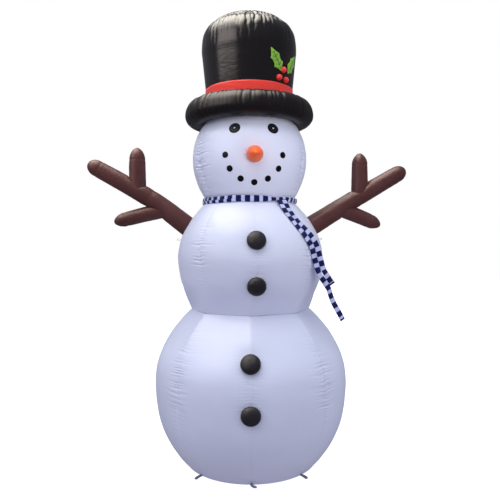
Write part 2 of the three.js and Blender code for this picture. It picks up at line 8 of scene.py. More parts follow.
import bpy
import numpy as np
from mathutils import Euler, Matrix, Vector


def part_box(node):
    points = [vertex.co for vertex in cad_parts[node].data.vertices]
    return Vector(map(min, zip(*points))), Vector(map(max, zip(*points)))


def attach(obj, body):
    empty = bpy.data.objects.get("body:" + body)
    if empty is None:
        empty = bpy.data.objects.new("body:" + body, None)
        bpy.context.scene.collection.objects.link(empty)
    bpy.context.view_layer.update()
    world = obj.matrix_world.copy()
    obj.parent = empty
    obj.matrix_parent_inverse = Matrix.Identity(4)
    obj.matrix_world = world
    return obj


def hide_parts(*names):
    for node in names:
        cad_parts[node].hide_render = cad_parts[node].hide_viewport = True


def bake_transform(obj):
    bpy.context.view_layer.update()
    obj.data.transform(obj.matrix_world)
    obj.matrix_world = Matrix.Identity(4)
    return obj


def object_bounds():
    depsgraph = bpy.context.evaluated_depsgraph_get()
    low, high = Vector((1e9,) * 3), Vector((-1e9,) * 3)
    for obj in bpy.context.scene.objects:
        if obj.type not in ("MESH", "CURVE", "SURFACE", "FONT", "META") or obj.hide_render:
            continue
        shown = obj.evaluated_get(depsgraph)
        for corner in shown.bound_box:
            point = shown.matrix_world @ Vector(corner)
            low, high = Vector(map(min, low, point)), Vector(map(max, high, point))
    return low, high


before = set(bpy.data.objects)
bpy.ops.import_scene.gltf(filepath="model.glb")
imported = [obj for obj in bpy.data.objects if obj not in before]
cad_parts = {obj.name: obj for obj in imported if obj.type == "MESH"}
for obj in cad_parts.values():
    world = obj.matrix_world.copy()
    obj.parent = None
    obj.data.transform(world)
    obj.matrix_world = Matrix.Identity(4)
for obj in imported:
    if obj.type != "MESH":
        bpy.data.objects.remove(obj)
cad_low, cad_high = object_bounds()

# ---- camera

HEIGHT = cad_high.z
LENS = 38.88
CAMERA_DISTANCE = 1.2354 * HEIGHT
CAMERA_HEIGHT = 0.499 * HEIGHT
CAMERA_PITCH = 0.02
CAMERA_ROLL = math.radians(-0.3)


def linked(name, data):
    """A new object in the scene."""
    obj = bpy.data.objects.new(name, data)
    bpy.context.scene.collection.objects.link(obj)
    return obj


def add_camera():
    camera = linked("camera", bpy.data.cameras.new("camera"))
    camera.data.lens = LENS
    camera.data.sensor_width = 36
    camera.data.clip_end = 60
    camera.location = (0, -CAMERA_DISTANCE, CAMERA_HEIGHT)
    level = Euler((math.pi / 2 - CAMERA_PITCH, 0, 0)).to_matrix()
    rolled = level @ Euler((0, 0, CAMERA_ROLL)).to_matrix()
    camera.rotation_euler = rolled.to_euler()
    bpy.context.scene.camera = camera


add_camera()

# ---- sizes that the frame doesn't give

CAD_FABRIC = 0.0025      # thickness of a skin in the CAD
CLOTH = 0.0012           # thickness of a skin here
SEAM_CORD_R = 0.0012     # the piping over a seam
FULL_TURN = 2 * math.pi

# ---- directions, curves and noise


def reach(points):
    """The distance of points from the body's axis."""
    return np.hypot(points[..., 0], points[..., 1])


def azimuth(points):
    """The angle of a point, or of each of many, round the body."""
    return np.arctan2(points[..., 0], -points[..., 1])


def from_axis(radius, angle, z):
    """Points at a distance and an angle from the body's axis, and at a height."""
    return np.stack(np.broadcast_arrays(radius * np.sin(angle), -radius * np.cos(angle), z), axis=-1)


def unit(vectors):
    return vectors / np.maximum(np.linalg.norm(vectors, axis=-1, keepdims=True), 1e-12)


def wrapped(angle):
    """An angle brought to within half a turn of 0."""
    return (angle + math.pi) % FULL_TURN - math.pi


def turns(count):
    """Evenly spaced angles round a full turn."""
    return np.linspace(0, FULL_TURN, count, endpoint=False)


def bell(value, spread, middle=0.0):
    """1 at the middle, falling to 0 on both sides."""
    return np.exp(-(((value - middle) / spread) ** 2))


def smooth(value, start, end):
    """0 before start, 1 after end, and an even rise between them."""
    t = np.clip((np.asarray(value, float) - start) / (end - start), 0, 1)
    return t * t * (3 - 2 * t)


def waves(x, length, seed):
    """A repeatable wandering line between about -1 and 1."""
    phases = np.random.default_rng(seed).uniform(0, FULL_TURN, 4)
    total = 0
    for phase, finer in zip(phases, (1, 1.73, 2.9, 4.4)):
        total = total + np.sin(FULL_TURN * np.asarray(x) * finer / length + phase) / finer
    return total / 1.8


def folds(along, away, spacing, length, seed):
    """Short gathered folds across a seam: 1 in the crease of a fold and 0 off it."""
    wander = 2.2 * waves(along, 9 * spacing, seed) + 0.9 * waves(along, 3.3 * spacing, seed + 1)
    bend = 0.8 * waves(away + 0.3 * along, 2.5 * length, seed + 2)
    crease = 1 - np.abs(np.sin(math.pi * along / spacing + wander + bend))
    long = length * (1 + 0.55 * waves(along, 2.6 * spacing, seed + 3))
    strength = 0.65 + 0.35 * waves(along, 5.1 * spacing, seed + 4)
    return crease**1.6 * strength * bell(away, long)


def arc_lengths(line):
    return np.r_[0, np.cumsum(np.linalg.norm(np.diff(line, axis=0), axis=1))]


def spline(points, count):
    """Evenly spaced points on a smooth line through the given ones."""
    p = np.array(points, float)
    ends = np.vstack([2 * p[0] - p[1], p, 2 * p[-1] - p[-2]])
    t = np.linspace(0, 1, 50, endpoint=False)[:, None]
    parts = []
    for a, b, c, d in zip(ends, ends[1:], ends[2:], ends[3:]):
        square = 2 * a - 5 * b + 4 * c - d
        cube = 3 * b - a - 3 * c + d
        parts.append(b + 0.5 * ((c - a) * t + square * t**2 + cube * t**3))
    line = np.vstack([*parts, p[-1:]])
    steps = arc_lengths(line)
    wanted = np.linspace(0, steps[-1], count)
    return np.stack([np.interp(wanted, steps, column) for column in line.T], axis=1)


# ---- reading the frame

SAME_RING = 2e-4         # points nearer than this in radius and height are on one ring
FULL_RING = 12           # fewest points of a ring that runs right round


def vertices_of(node):
    return np.array([v.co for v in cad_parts[node].data.vertices], float)


def box_centre(node):
    low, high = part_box(node)
    return np.array((low + high) / 2)


def rings_of(node):
    """The [radius, height] of every full ring of vertices in a round node."""
    points = np.unique(np.round(vertices_of(node), 5), axis=0)
    pairs = np.c_[reach(points), points[:, 2]]
    rings = []
    for pair in pairs[np.lexsort((pairs[:, 0], pairs[:, 1]))]:
        for ring in rings:
            if np.hypot(*(ring[0] - pair)) < SAME_RING:
                ring[1] += 1
                break
        else:
            rings.append([pair, 1])
    return np.array([ring for ring, count in rings if count >= FULL_RING])


def outline_of(node, middle, order="height"):
    """The outer outline of a round skin, as [radius, height] points in order of height or of angle.

    A point is on the outside if the nearest point through the fabric is closer to the middle."""
    rings = rings_of(node)
    middle = np.array(middle)
    outer = []
    for ring in rings:
        apart = np.hypot(*(rings - ring).T)
        partners = rings[np.abs(apart - CAD_FABRIC) < 1e-4]
        if any(np.dot(ring - partner, ring - middle) > 0 for partner in partners):
            outer.append(ring)
    outer = np.array(outer)
    if order == "height":
        return outer[np.argsort(outer[:, 1])]
    return outer[np.argsort(np.arctan2(outer[:, 1] - middle[1], outer[:, 0] - middle[0]))]


def side_of(node):
    """The outline of a ball or of the crown's side, from its foot to its top."""
    return outline_of(node, (0.0, box_centre(node)[2]))


TWIST = azimuth(box_centre("button_1"))
FORWARD = from_axis(1.0, TWIST, 0.0)
WAIST_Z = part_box("middle_ball_skin")[0].z
LOWER = spline(side_of("lower_ball_skin"), 330)
MIDDLE = spline(side_of("middle_ball_skin"), 290)
HEAD = spline(side_of("head_skin"), 250)
brim_rings = rings_of("hat_brim")
BRIM_MIDDLE = (brim_rings[brim_rings[:, 1].argmax(), 0], brim_rings[brim_rings[:, 0].argmax(), 1])
BRIM = spline(outline_of("hat_brim", BRIM_MIDDLE, "angle"), 100)
CROWN = spline(np.vstack([side_of("hat_crown"), [[0.0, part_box("hat_top_panel")[1].z]]]), 150)


def radius_at(outline, z):
    """The radius of a ball or the crown's side at a height."""
    rising = np.r_[True, np.diff(outline[:, 1]) > 1e-7]
    return np.interp(z, outline[rising, 1], outline[rising, 0])


def slope_normal(outline, z):
    """The outward and upward parts of the normal of an outline at a height."""
    step = 0.002
    slope = (radius_at(outline, z + step) - radius_at(outline, z - step)) / (2 * step)
    length = np.hypot(1, slope)
    return 1 / length, -slope / length


def spot(outline, angle, z, lift=0.0):
    """The point on a skin at an angle and a height, and lift off it."""
    outward, upward = slope_normal(outline, z)
    return from_axis(radius_at(outline, z) + lift * outward, angle, z + lift * upward)


# ---- meshes


def make_object(name, points, faces, materials, indices=None):
    mesh = bpy.data.meshes.new(name)
    mesh.from_pydata(np.asarray(points, float).tolist(), [], faces)
    for material in materials:
        mesh.materials.append(material)
    if indices is not None:
        mesh.polygons.foreach_set("material_index", indices)
    mesh.polygons.foreach_set("use_smooth", [True] * len(mesh.polygons))
    mesh.update()
    return linked(name, mesh)


def normals_of(grid, closed):
    if closed:
        across = np.roll(grid, -1, axis=1) - np.roll(grid, 1, axis=1)
    else:
        across = np.gradient(grid, axis=1)
    return unit(np.cross(across, np.gradient(grid, axis=0)))


def pushed(grid, push):
    """A closed grid moved along its normals, by one distance for each point."""
    return grid + normals_of(grid, True) * push[..., None]


def quads_of(rows, columns, closed):
    index = np.arange(rows * columns).reshape(rows, columns)
    right = np.roll(index, -1, axis=1) if closed else index[:, 1:]
    left = index if closed else index[:, :-1]
    return np.stack([left[:-1], right[:-1], right[1:], left[1:]], axis=-1)


def rim_of(quads, size):
    """The edges that only one quad has; size is more than any vertex number."""
    edges = np.concatenate([quads[:, [k, (k + 1) % 4]] for k in range(4)])
    forwards = edges[:, 0] * size + edges[:, 1]
    backwards = edges[:, 1] * size + edges[:, 0]
    return edges[~np.isin(forwards, backwards)]


def shell(name, grid, materials, thickness=CLOTH, closed=True, keep=None, cap=False, colours=None):
    """A thin closed piece: the grid, a copy inside it and the rims between them.

    keep says which quads stay, cap closes the last row at its middle, colours gives the quads' materials."""
    rows, columns = grid.shape[:2]
    count = rows * columns
    inner = grid - normals_of(grid, closed) * thickness
    points = np.vstack([grid.reshape(-1, 3), inner.reshape(-1, 3)])
    quads = quads_of(rows, columns, closed)
    kept = np.ones(quads.shape[:2], bool) if keep is None else keep
    outside = quads[kept]
    indices = [0] * len(outside) if colours is None else colours[kept].tolist()
    rim = rim_of(outside, len(points))
    fans = []
    if cap:
        points = np.vstack([points, grid[-1].mean(0), inner[-1].mean(0)])
        last = list(range(count - columns, count))
        after = last[1:] + last[:1]
        fans = [[a, b, 2 * count] for a, b in zip(last, after)]
        fans += [[b + count, a + count, 2 * count + 1] for a, b in zip(last, after)]
        rim = rim[(rim < count - columns).any(axis=1)]
    walls = np.c_[rim[:, 1], rim[:, 0], rim[:, 0] + count, rim[:, 1] + count]
    faces = outside.tolist() + (outside[:, ::-1] + count).tolist() + walls.tolist() + fans
    used = np.unique(np.concatenate(faces))
    place = np.zeros(len(points), int)
    place[used] = np.arange(len(used))
    faces = [place[face].tolist() for face in faces]
    return make_object(name, points[used], faces, materials, indices * 2 + [0] * (len(walls) + len(fans)))


def solid(name, grid, materials, colours=None):
    """A closed piece from a grid whose rows are rings; the end rings are closed at their middles."""
    rows, columns = grid.shape[:2]
    count = rows * columns
    points = np.vstack([grid.reshape(-1, 3), grid[0].mean(0), grid[-1].mean(0)])
    quads = quads_of(rows, columns, True).reshape(-1, 4)
    first = np.arange(columns)
    last = first + count - columns
    start = np.c_[np.roll(first, -1), first, np.full(columns, count)]
    finish = np.c_[last, np.roll(last, -1), np.full(columns, count + 1)]
    halves = np.vstack([quads[:, :3], quads[:, [0, 2, 3]], start, finish])
    a, b, c = (points[halves[:, k]] for k in range(3))
    faces = quads.tolist() + start.tolist() + finish.tolist()
    if np.einsum("ij,ij->i", a, np.cross(b, c)).sum() < 0:
        faces = [face[::-1] for face in faces]
    indices = None if colours is None else colours.reshape(-1).tolist() + [0] * (2 * columns)
    return make_object(name, points, faces, materials, indices)


def tube(name, line, radius, materials, sides=8):
    """A round cord along a line, closed at both ends."""
    along = unit(np.gradient(line, axis=0))
    guide = [1.0, 0, 0] if abs(along[:, 0]).max() < 0.9 else [0, 1.0, 0]
    side = unit(np.cross(along, guide))
    other = np.cross(along, side)
    turn = turns(sides)[:, None]
    ring = np.cos(turn) * side[:, None] + np.sin(turn) * other[:, None]
    return solid(name, line[:, None] + radius * ring, materials)


def joined(name, objects):
    """One object from several of one material."""
    points, faces = [], []
    material = objects[0].data.materials[0]
    for obj in objects:
        base = len(points)
        points += [tuple(v.co) for v in obj.data.vertices]
        faces += [[base + i for i in polygon.vertices] for polygon in obj.data.polygons]
        bpy.data.objects.remove(obj)
    return make_object(name, points, faces, [material])


def finish_piece(obj, body, slot, *nodes):
    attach(obj, body)
    if nodes:
        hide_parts(*nodes)


# ---- materials

WAVE_PITCH = 0.314       # how far apart the bands of a wave texture of scale 1 are


def linear(red, green, blue):
    """A screen colour, 0 to 255, as the linear colour that shaders take."""
    parts = [c / 255 for c in (red, green, blue)]
    return [p / 12.92 if p <= 0.04045 else ((p + 0.055) / 1.055) ** 2.4 for p in parts]


class Nodes:
    """A short way to make and link the nodes of a material or of the world."""

    def __init__(self, owner, output, coordinates):
        owner.use_nodes = True
        self.tree = owner.node_tree
        self.tree.nodes.clear()
        self.surface = self.add(output).inputs["Surface"]
        self.place = self.add("TexCoord").outputs[coordinates]

    def add(self, kind, inputs=None, **settings):
        """A new node; each input is a value, or the output of another node that is linked to it."""
        node = self.tree.nodes.new(f"ShaderNode{kind}")
        for key, value in settings.items():
            setattr(node, key, value)
        for key, value in (inputs or {}).items():
            if isinstance(value, bpy.types.NodeSocket):
                self.tree.links.new(value, node.inputs[key])
            else:
                node.inputs[key].default_value = value
        return node

    def finish(self, node):
        self.tree.links.new(node.outputs[0], self.surface)

    def stretched(self, scale):
        return self.add("Mapping", {"Vector": self.place, "Scale": scale}).outputs[0]

    def noise(self, scale, detail, vector=None):
        inputs = {"Vector": vector or self.place, "Scale": scale, "Detail": detail, "Roughness": 0.55}
        return self.add("TexNoise", inputs).outputs["Fac"]

    def ramp(self, factor, stops):
        node = self.add("ValToRGB", {0: factor})
        elements = node.color_ramp.elements
        while len(elements) < len(stops):
            elements.new(0.5)
        for element, (position, colour) in zip(elements, stops):
            element.position = position
            element.color = (*colour, 1)
        return node.outputs[0]

    def shades(self, factor, colour, stops):
        """A colour that gets darker and lighter: each stop is a position and how many times the colour."""
        return self.ramp(factor, [(position, [c * times for c in colour]) for position, times in stops])

    def bump(self, height, strength, distance, under=None):
        inputs = {"Height": height, "Strength": strength, "Distance": distance}
        if under:
            inputs["Normal"] = under
        return self.add("Bump", inputs).outputs[0]

    def range(self, value, low, high, start=0.0, end=1.0):
        """low where the value is start, and high where it is end."""
        inputs = {"Value": value, "From Min": start, "From Max": end, "To Min": low, "To Max": high}
        return self.add("MapRange", inputs).outputs[0]

    def math(self, operation, first, second):
        return self.add("Math", {0: first, 1: second}, operation=operation).outputs[0]

    def weave(self, pitch):
        """Threads that cross at right angles, two waves at the thread's pitch."""
        inputs = {"Vector": self.place, "Scale": WAVE_PITCH / pitch, "Distortion": 0.6}
        ways = [self.add("TexWave", inputs, bands_direction=way).outputs["Fac"] for way in ("X", "Z")]
        return self.math("MULTIPLY", *ways)


def new_material(name):
    material = bpy.data.materials.new(name)
    return material, Nodes(material, "OutputMaterial", "Object")


def nylon(name, colour, roughness, crinkle=0.35, crinkle_scale=26, variation=0.05, sheen=0.1, specular=0.5):
    """Coated nylon: a fine weave, soft crinkles, and a little variation in colour and gloss."""
    material, n = new_material(name)
    threads = n.bump(n.weave(0.0011), 0.12, 0.0002)
    lines = n.noise(crinkle_scale, 5, n.stretched((1, 1, 2.6)))
    n.finish(n.add("BsdfPrincipled", {
        "Base Color": n.shades(n.noise(3.2, 4), colour, [(0.3, 1 - variation), (0.7, 1 + variation)]),
        "Roughness": n.range(n.noise(9, 3), roughness - 0.06, roughness + 0.07),
        "Normal": n.bump(lines, crinkle, 0.004, threads),
        "Sheen Weight": sheen,
        "Specular IOR Level": specular,
    }))
    return material


def woven(name, colour, roughness=0.8, pitch=0.0016):
    """Knitted or woven cloth with threads that show close up."""
    material, n = new_material(name)
    fibres = n.noise(420, 2)
    n.finish(n.add("BsdfPrincipled", {
        "Base Color": n.shades(fibres, colour, [(0.25, 0.82), (0.75, 1.12)]),
        "Roughness": n.range(fibres, roughness - 0.05, roughness + 0.08),
        "Normal": n.bump(n.weave(pitch), 0.5, 0.0006, n.bump(fibres, 0.3, 0.0005)),
        "Sheen Weight": 0.08,
        "Specular IOR Level": 0.25,
    }))
    return material


def moulded(name, colour, roughness=0.45, metallic=0.0, grain=900):
    """Moulded plastic or plain metal with a fine grain and light wear."""
    material, n = new_material(name)
    wear = n.noise(38, 6)
    n.finish(n.add("BsdfPrincipled", {
        "Base Color": n.shades(wear, colour, [(0.35, 0.86), (0.72, 1.15)]),
        "Roughness": n.range(wear, roughness - 0.08, roughness + 0.12),
        "Normal": n.bump(n.noise(grain, 2), 0.15, 0.0003),
        "Metallic": metallic,
    }))
    return material


HAT_COLOUR = (0.008, 0.0062, 0.0066)
HAT_CLOTH = {"crinkle": 0.2, "crinkle_scale": 22, "variation": 0.25, "sheen": 0.0}
PRINT = {"crinkle": 0.1, "sheen": 0.0, "specular": 0.2}

# White nylon: the lavender-blue tint in its base colour is painted sky light.
SNOW = nylon("snow_nylon", (0.76, 0.79, 0.93), 0.38, 0.12, 14, variation=0.02, specular=0.35)
# The seam cords are the same nylon as the cloth, painted lighter: a painted highlight along the seam ridges.
HIGHLIGHT_PIPING = nylon("seam_piping_painted_highlight", (0.84, 0.87, 0.97), 0.45, crinkle=0.1, variation=0.02)
BLACK = nylon("hat_nylon", HAT_COLOUR, 0.19, specular=0.6, **HAT_CLOTH)
BRIM_BLACK = nylon("brim_nylon", HAT_COLOUR, 0.36, specular=0.3, **HAT_CLOTH)
BUTTON = nylon("button_nylon", (0.020, 0.018, 0.021), 0.45, 0.6, 60, variation=0.3, sheen=0.0, specular=0.3)
BROWN = nylon("arm_nylon", (0.105, 0.037, 0.032), 0.36, 0.5, 48, variation=0.2, sheen=0.0, specular=0.3)
RED = nylon("band_nylon", linear(255, 64, 50), 0.45, crinkle=0.25, crinkle_scale=40)
GREEN = nylon("leaf_nylon", linear(142, 200, 60), 0.5, crinkle=0.2, crinkle_scale=60, variation=0.08)
VEIN = nylon("leaf_vein", linear(66, 110, 34), 0.5, crinkle=0.1)
ORANGE = nylon("nose_nylon", linear(252, 100, 26), 0.5, crinkle=0.3, crinkle_scale=45, variation=0.06)
PRINT_BLACK = nylon("print_black", linear(10, 10, 14), 0.5, variation=0.15, **PRINT)
PRINT_GREY = nylon("print_grey", linear(46, 48, 58), 0.5, **PRINT)
PRINT_WHITE = nylon("print_white", linear(245, 245, 250), 0.45, crinkle=0.05)
NAVY = woven("scarf_navy", linear(14, 17, 78))
PALE = woven("scarf_pale", linear(200, 208, 246))
WEBBING = woven("webbing_grey", linear(150, 152, 160), pitch=0.0024)
ZIP_TAPE = woven("zip_tape", linear(214, 219, 232), pitch=0.0009)
PLASTIC = moulded("blower_plastic", linear(44, 45, 50))
GRILLE = moulded("grille_plastic", linear(60, 61, 66), 0.4)
STEEL = moulded("motor_steel", linear(172, 175, 180), 0.32, metallic=1.0, grain=400)
ZIP_METAL = moulded("zip_metal", linear(190, 192, 196), 0.35, metallic=0.9)
TEETH = moulded("zip_teeth", linear(226, 229, 238), 0.4)
SHEATH = moulded("cable_sheath", linear(216, 217, 214), 0.5)
LAMP = moulded("lamp_lens", linear(246, 240, 220), 0.2)

# ---- gored skins

EIGHTHS = [math.radians(45 * k) for k in range(-4, 4)]
SEAM_WIDTH = 0.006       # how far the dip at a seam's stitches reaches
BUTTON_DENT = {"depth": 0.006, "width": 0.05, "pleats": 30}


def gore_columns(guides, per_turn):
    """Angles round a skin, closest together at the guide angles."""
    angles = []
    for start, end in zip(guides, [*guides[1:], guides[0] + FULL_TURN]):
        count = max(4, round(per_turn * (end - start) / FULL_TURN))
        share = np.arange(count) / count
        bent = 0.5 + 0.5 * np.sin((share - 0.5) * math.pi * 0.9) / math.sin(0.45 * math.pi)
        angles.append(start + (end - start) * bent)
    return np.concatenate(angles)


def nearest_seam(angles, seams):
    """For each angle, the nearest seam's index and the signed angle from it."""
    apart = wrapped(angles[:, None] - np.array(seams))
    nearest = np.abs(apart).argmin(axis=1)
    return nearest, apart[np.arange(len(angles)), nearest]


def gore_flatness(angles, seams):
    """How far inside the circle a flat panel between two seams lies, as a share of the radius."""
    ordered = np.sort(np.array(seams))
    loop = np.r_[ordered, ordered[0] + FULL_TURN]
    onward = (angles - ordered[0]) % FULL_TURN + ordered[0]
    after = np.clip(np.searchsorted(loop, onward, side="right"), 1, len(loop) - 1)
    half = np.minimum((loop[after] - loop[after - 1]) / 2, math.pi / 6)
    off = np.clip(onward - (loop[after] + loop[after - 1]) / 2, -half, half)
    return np.cos(half) / np.cos(off) - 1


class Skin:
    """A gored skin as a grid of points, shaped step by step before it is made into a shell.

    share is each row's height from 0 at the foot of the skin to 1 at its top."""

    def __init__(self, outline, seams, per_turn, guides=None, turned=0.0):
        self.z = outline[:, 1]
        self.share = (self.z - self.z[0]) / (self.z[-1] - self.z[0])
        self.angles = gore_columns(guides or seams, per_turn)
        self.seams = seams
        self.seam, self.off = nearest_seam(self.angles, seams)
        self.round = self.angles + np.broadcast_to(turned, self.z.shape)[:, None]
        self.radius = np.repeat(outline[:, :1], len(self.angles), axis=1)
        self.arc = arc_lengths(outline)[:, None]
        self.away = self.off * self.radius
        self.push = np.zeros_like(self.radius)

    def base(self):
        return from_axis(self.radius, self.round, self.z[:, None])

    def points(self):
        return pushed(self.base(), self.push)

    def flatten(self, amount):
        """Makes the gores flat panels; amount has one value for each height."""
        self.radius = self.radius * (1 + amount[:, None] * gore_flatness(self.angles, self.seams))

    def sew(self, depth, width):
        """Pulls the skin in along its seams, by one depth or by one for each height."""
        self.push = self.push - np.reshape(depth, (-1, 1)) * bell(self.away, width)

    def gather(self, depth, middle, spread, spacing, length, seed, front=1.0):
        """Folds across the seams, deepest at the middle share; front is the front seam's part of them."""
        amount = depth * bell(self.share, spread, middle)[:, None]
        for index, seam in enumerate(self.seams):
            mine = self.seam == index
            crease = folds(self.arc, self.away[:, mine], spacing, length, seed + 17 * index)
            self.push[:, mine] -= (front if seam == 0 else 1.0) * amount * crease

    def ripple(self, amount, length, seed):
        """Slow unevenness all over."""
        first = waves(self.arc + 0.4 * self.away, length, seed)
        self.push = self.push + amount * first * waves(self.round * 0.4 + 0.5 * self.arc, length, seed + 1)

    def dent(self, pad, depth, width, pleats):
        """Pulls the skin in round a sewn-on pad, with fine pleats that run out from its edge."""
        gap = self.base() - pad.base
        distance = np.linalg.norm(gap, axis=-1)
        beyond = np.maximum(distance - pad.radius, 0)
        facing = azimuth(pad.base)
        sideways = gap[..., 0] * math.cos(facing) + gap[..., 1] * math.sin(facing)
        turn = np.arctan2(gap[..., 2], sideways)
        inside = smooth(distance, 0.55 * pad.radius, 0.8 * pad.radius)
        fine = 0.0012 * np.cos(pleats * turn + 2 * waves(turn, 2.1, pleats)) * np.exp(-beyond / 0.016)
        self.push = self.push - depth * bell(beyond, width) + fine * inside


def dress_ball(name, skin, piping, keep=None, skip=()):
    """The cloth of a ball, and the piping along its seams but for the skipped ones."""
    points = skin.points()
    normals = normals_of(points, True)
    cloth = shell(f"{name}_cloth", points, [SNOW], keep=keep)
    finish_piece(cloth, "root", "snow_nylon", f"{name}_skin")
    cords = []
    for index in range(len(skin.seams)):
        if index in skip:
            continue
        column = np.flatnonzero((skin.seam == index) & (np.abs(skin.off) < 1e-6))[0]
        line = points[2:-2:3, column] + normals[2:-2:3, column] * SEAM_CORD_R * 0.4
        cords.append(tube(f"{name}_seam_{index}", line, SEAM_CORD_R, [piping], 6))
    finish_piece(joined(f"{name}_seams", cords), "root", "snow_nylon")


def make_lower_ball():
    skin = Skin(LOWER, EIGHTHS, 144)
    skin.flatten(0.85 * smooth(skin.share, 0.632, 0.921))
    skin.sew(0.005 * bell(skin.share, 0.212, 0.478), 0.05)
    skin.sew(0.0022, SEAM_WIDTH)
    skin.gather(0.0105, middle=0.594, spread=0.231, spacing=0.024, length=0.055, seed=11, front=0.32)
    skin.ripple(0.0018, 0.45, 5)
    skin.dent(pad_frame("button_3", LOWER), **BUTTON_DENT)
    skin.dent(pad_frame("button_4", LOWER), **BUTTON_DENT)
    points = skin.points()[:-1]
    seat, axis = blower_axis()
    off_axis = np.linalg.norm(np.cross(points - seat, axis), axis=-1)
    hole = (off_axis < DUCT_CLEARANCE) & (points[..., 1] > 0)
    # The lower ball's seam cords take the lighter nylon, a painted highlight on its seam ridges.
    dress_ball("lower_ball", skin, HIGHLIGHT_PIPING, keep=~hole, skip=(0,))


def make_middle_ball():
    turned = TWIST * smooth(MIDDLE[:, 1], WAIST_Z, WAIST_Z + 0.16)
    skin = Skin(MIDDLE, EIGHTHS, 160, turned=turned)
    skin.flatten(0.85 * (1 - smooth(skin.share, 0, 0.27)))
    skin.sew(0.004 * bell(skin.share, 0.297, 0.511), 0.045)
    skin.sew(0.002, SEAM_WIDTH)
    skin.gather(0.0095, middle=0.511, spread=0.23, spacing=0.022, length=0.046, seed=211, front=0.32)
    skin.ripple(0.0015, 0.4, 25)
    skin.dent(pad_frame("button_1", MIDDLE), **BUTTON_DENT)
    skin.dent(pad_frame("button_2", MIDDLE), **BUTTON_DENT)
    dress_ball("middle_ball", skin, SNOW)


def make_head():
    seams = [math.radians(a) for a in (-120, -62, 62, 120, 180)]
    skin = Skin(HEAD, seams, 180, guides=sorted([*seams, 0.0]), turned=TWIST)
    skin.sew(0.005 * bell(skin.share, 0.319, 0.502), 0.045)
    skin.sew(0.002, SEAM_WIDTH)
    skin.gather(0.0135, middle=0.464, spread=0.281, spacing=0.030, length=0.065, seed=411)
    skin.ripple(0.0016, 0.35, 45)
    skin.dent(nose_frame(), depth=0.007, width=0.045, pleats=26)
    dress_ball("head", skin, SNOW)


# ---- sewn-on pads


class Pad:
    """The place of a round sewn-on piece: the middle of its foot, the way it stands, and its size."""

    def __init__(self, base, normal, radius, height):
        self.base, self.normal, self.radius, self.height = base, normal, radius, height
        self.side = unit(np.cross([0, 0, 1.0], normal))
        self.up = np.cross(normal, self.side)

    def ring(self, radius, turn, lift):
        """Points at a distance from the pad's axis, at a turn round it, and lifted off the skin."""
        x, y, lift = np.broadcast_arrays(radius * np.cos(turn), radius * np.sin(turn), lift)
        return self.base + x[..., None] * self.side + y[..., None] * self.up + lift[..., None] * self.normal


def pad_frame(node, outline):
    """The place of a pad that is laid on the skin with the given outline."""
    points = vertices_of(node)
    middle = (points.min(axis=0) + points.max(axis=0)) / 2
    turn = azimuth(middle)
    level, upward = slope_normal(outline, middle[2])
    outward = from_axis(level, turn, upward)
    apex = points[(points @ outward).argmax()]
    apart = points - apex
    radius = np.linalg.norm(apart - np.outer(apart @ outward, outward), axis=1).max()
    height = np.dot(apex - spot(outline, turn, apex[2]), outward)
    return Pad(apex - outward * height, outward, radius, height)


def nose_frame():
    points = vertices_of("nose")
    tip = points[(points @ FORWARD).argmax()]
    back = points[reach(points) - radius_at(HEAD, points[:, 2]) < 0.004]
    base = (back.max(axis=0) + back.min(axis=0)) / 2
    return Pad(base, unit(tip - base), np.ptp(back[:, 2]) / 2, np.linalg.norm(tip - base))


def puffed_pad(name, node, outline, material, slot, seed, pleats, sunk=0.006):
    """A puffed round pad with a gathered edge, sewn down on the skin."""
    pad = pad_frame(node, outline)
    turn = turns(96)
    rise = np.linspace(0, math.pi / 2, 26)[:, None]
    gathered = np.abs(np.sin(0.5 * pleats * turn + 0.8 * waves(turn, 3.1, seed)))
    bite = np.exp(-rise / 0.36)
    across = pad.radius * np.cos(rise) ** 0.92 * (1 - 0.07 * bite * (1 - gathered))
    lumps = 0.03 * waves(turn + rise, 2.4, seed + 3) * np.sin(2 * rise)
    lift = pad.height * (np.sin(rise) ** 0.9 * (1 + lumps) - 0.09 * bite * (1 - gathered))
    grid = np.concatenate([pad.ring(0.9 * across[:1], turn, -sunk), pad.ring(across, turn, lift)[:-1]])
    obj = solid(name, grid, [material])
    finish_piece(obj, "root", slot, node)


def printed_disc(name, node, colour_rings, spokes=0):
    """A flat round patch on the head, with rings of colour: [outer share of the radius, material]."""
    pad = pad_frame(node, HEAD)
    columns = 72
    turn = turns(columns)
    bounds = [0.02, *(share for share, _ in colour_rings)]
    steps = [np.linspace(low, high, 5) for low, high in zip(bounds, bounds[1:])]
    shares = np.unique(np.round(np.concatenate(steps), 5))[:, None]
    z = pad.base[2] + pad.radius * shares * np.sin(turn) * pad.up[2]
    around = azimuth(pad.base) + pad.radius * shares * np.cos(turn) / radius_at(HEAD, z)
    top = spot(HEAD, around, z, 0.0022 * (1 - shares**4) + 0.0014)
    under = spot(HEAD, around[-1:], z[-1:], -0.002)
    materials = [material for _, material in colour_rings]
    middles = np.r_[shares[-1], ((shares[1:, 0] + shares[:-1, 0]) / 2)[::-1]][:, None]
    which = np.clip(np.searchsorted(bounds[1:], middles - 1e-6), 0, len(materials) - 1)
    colours = np.repeat(which, columns, axis=1)
    if spokes:
        middle_turn = turn + math.pi / columns
        on_spoke = np.abs(np.sin(0.5 * spokes * (middle_turn - math.pi / spokes))) < 0.10
        colours[(middles < 0.62) & (middles > 0.2) & on_spoke] = materials.index(PRINT_GREY)
    obj = solid(name, np.concatenate([under, top[::-1]]), materials, colours)
    finish_piece(obj, "root", "black_nylon", node)


def make_face():
    eye_rings = [(0.13, PRINT_WHITE), (0.56, PRINT_BLACK), (0.68, PRINT_GREY), (1.0, PRINT_BLACK)]
    dot_rings = [(0.86, PRINT_BLACK), (1.0, PRINT_BLACK)]
    for side in ("left", "right"):
        printed_disc(f"eye_{side}_patch", f"eye_{side}", eye_rings, spokes=4)
    for dot in range(1, 8):
        printed_disc(f"mouth_patch_{dot}", f"mouth_dot_{dot}", dot_rings)


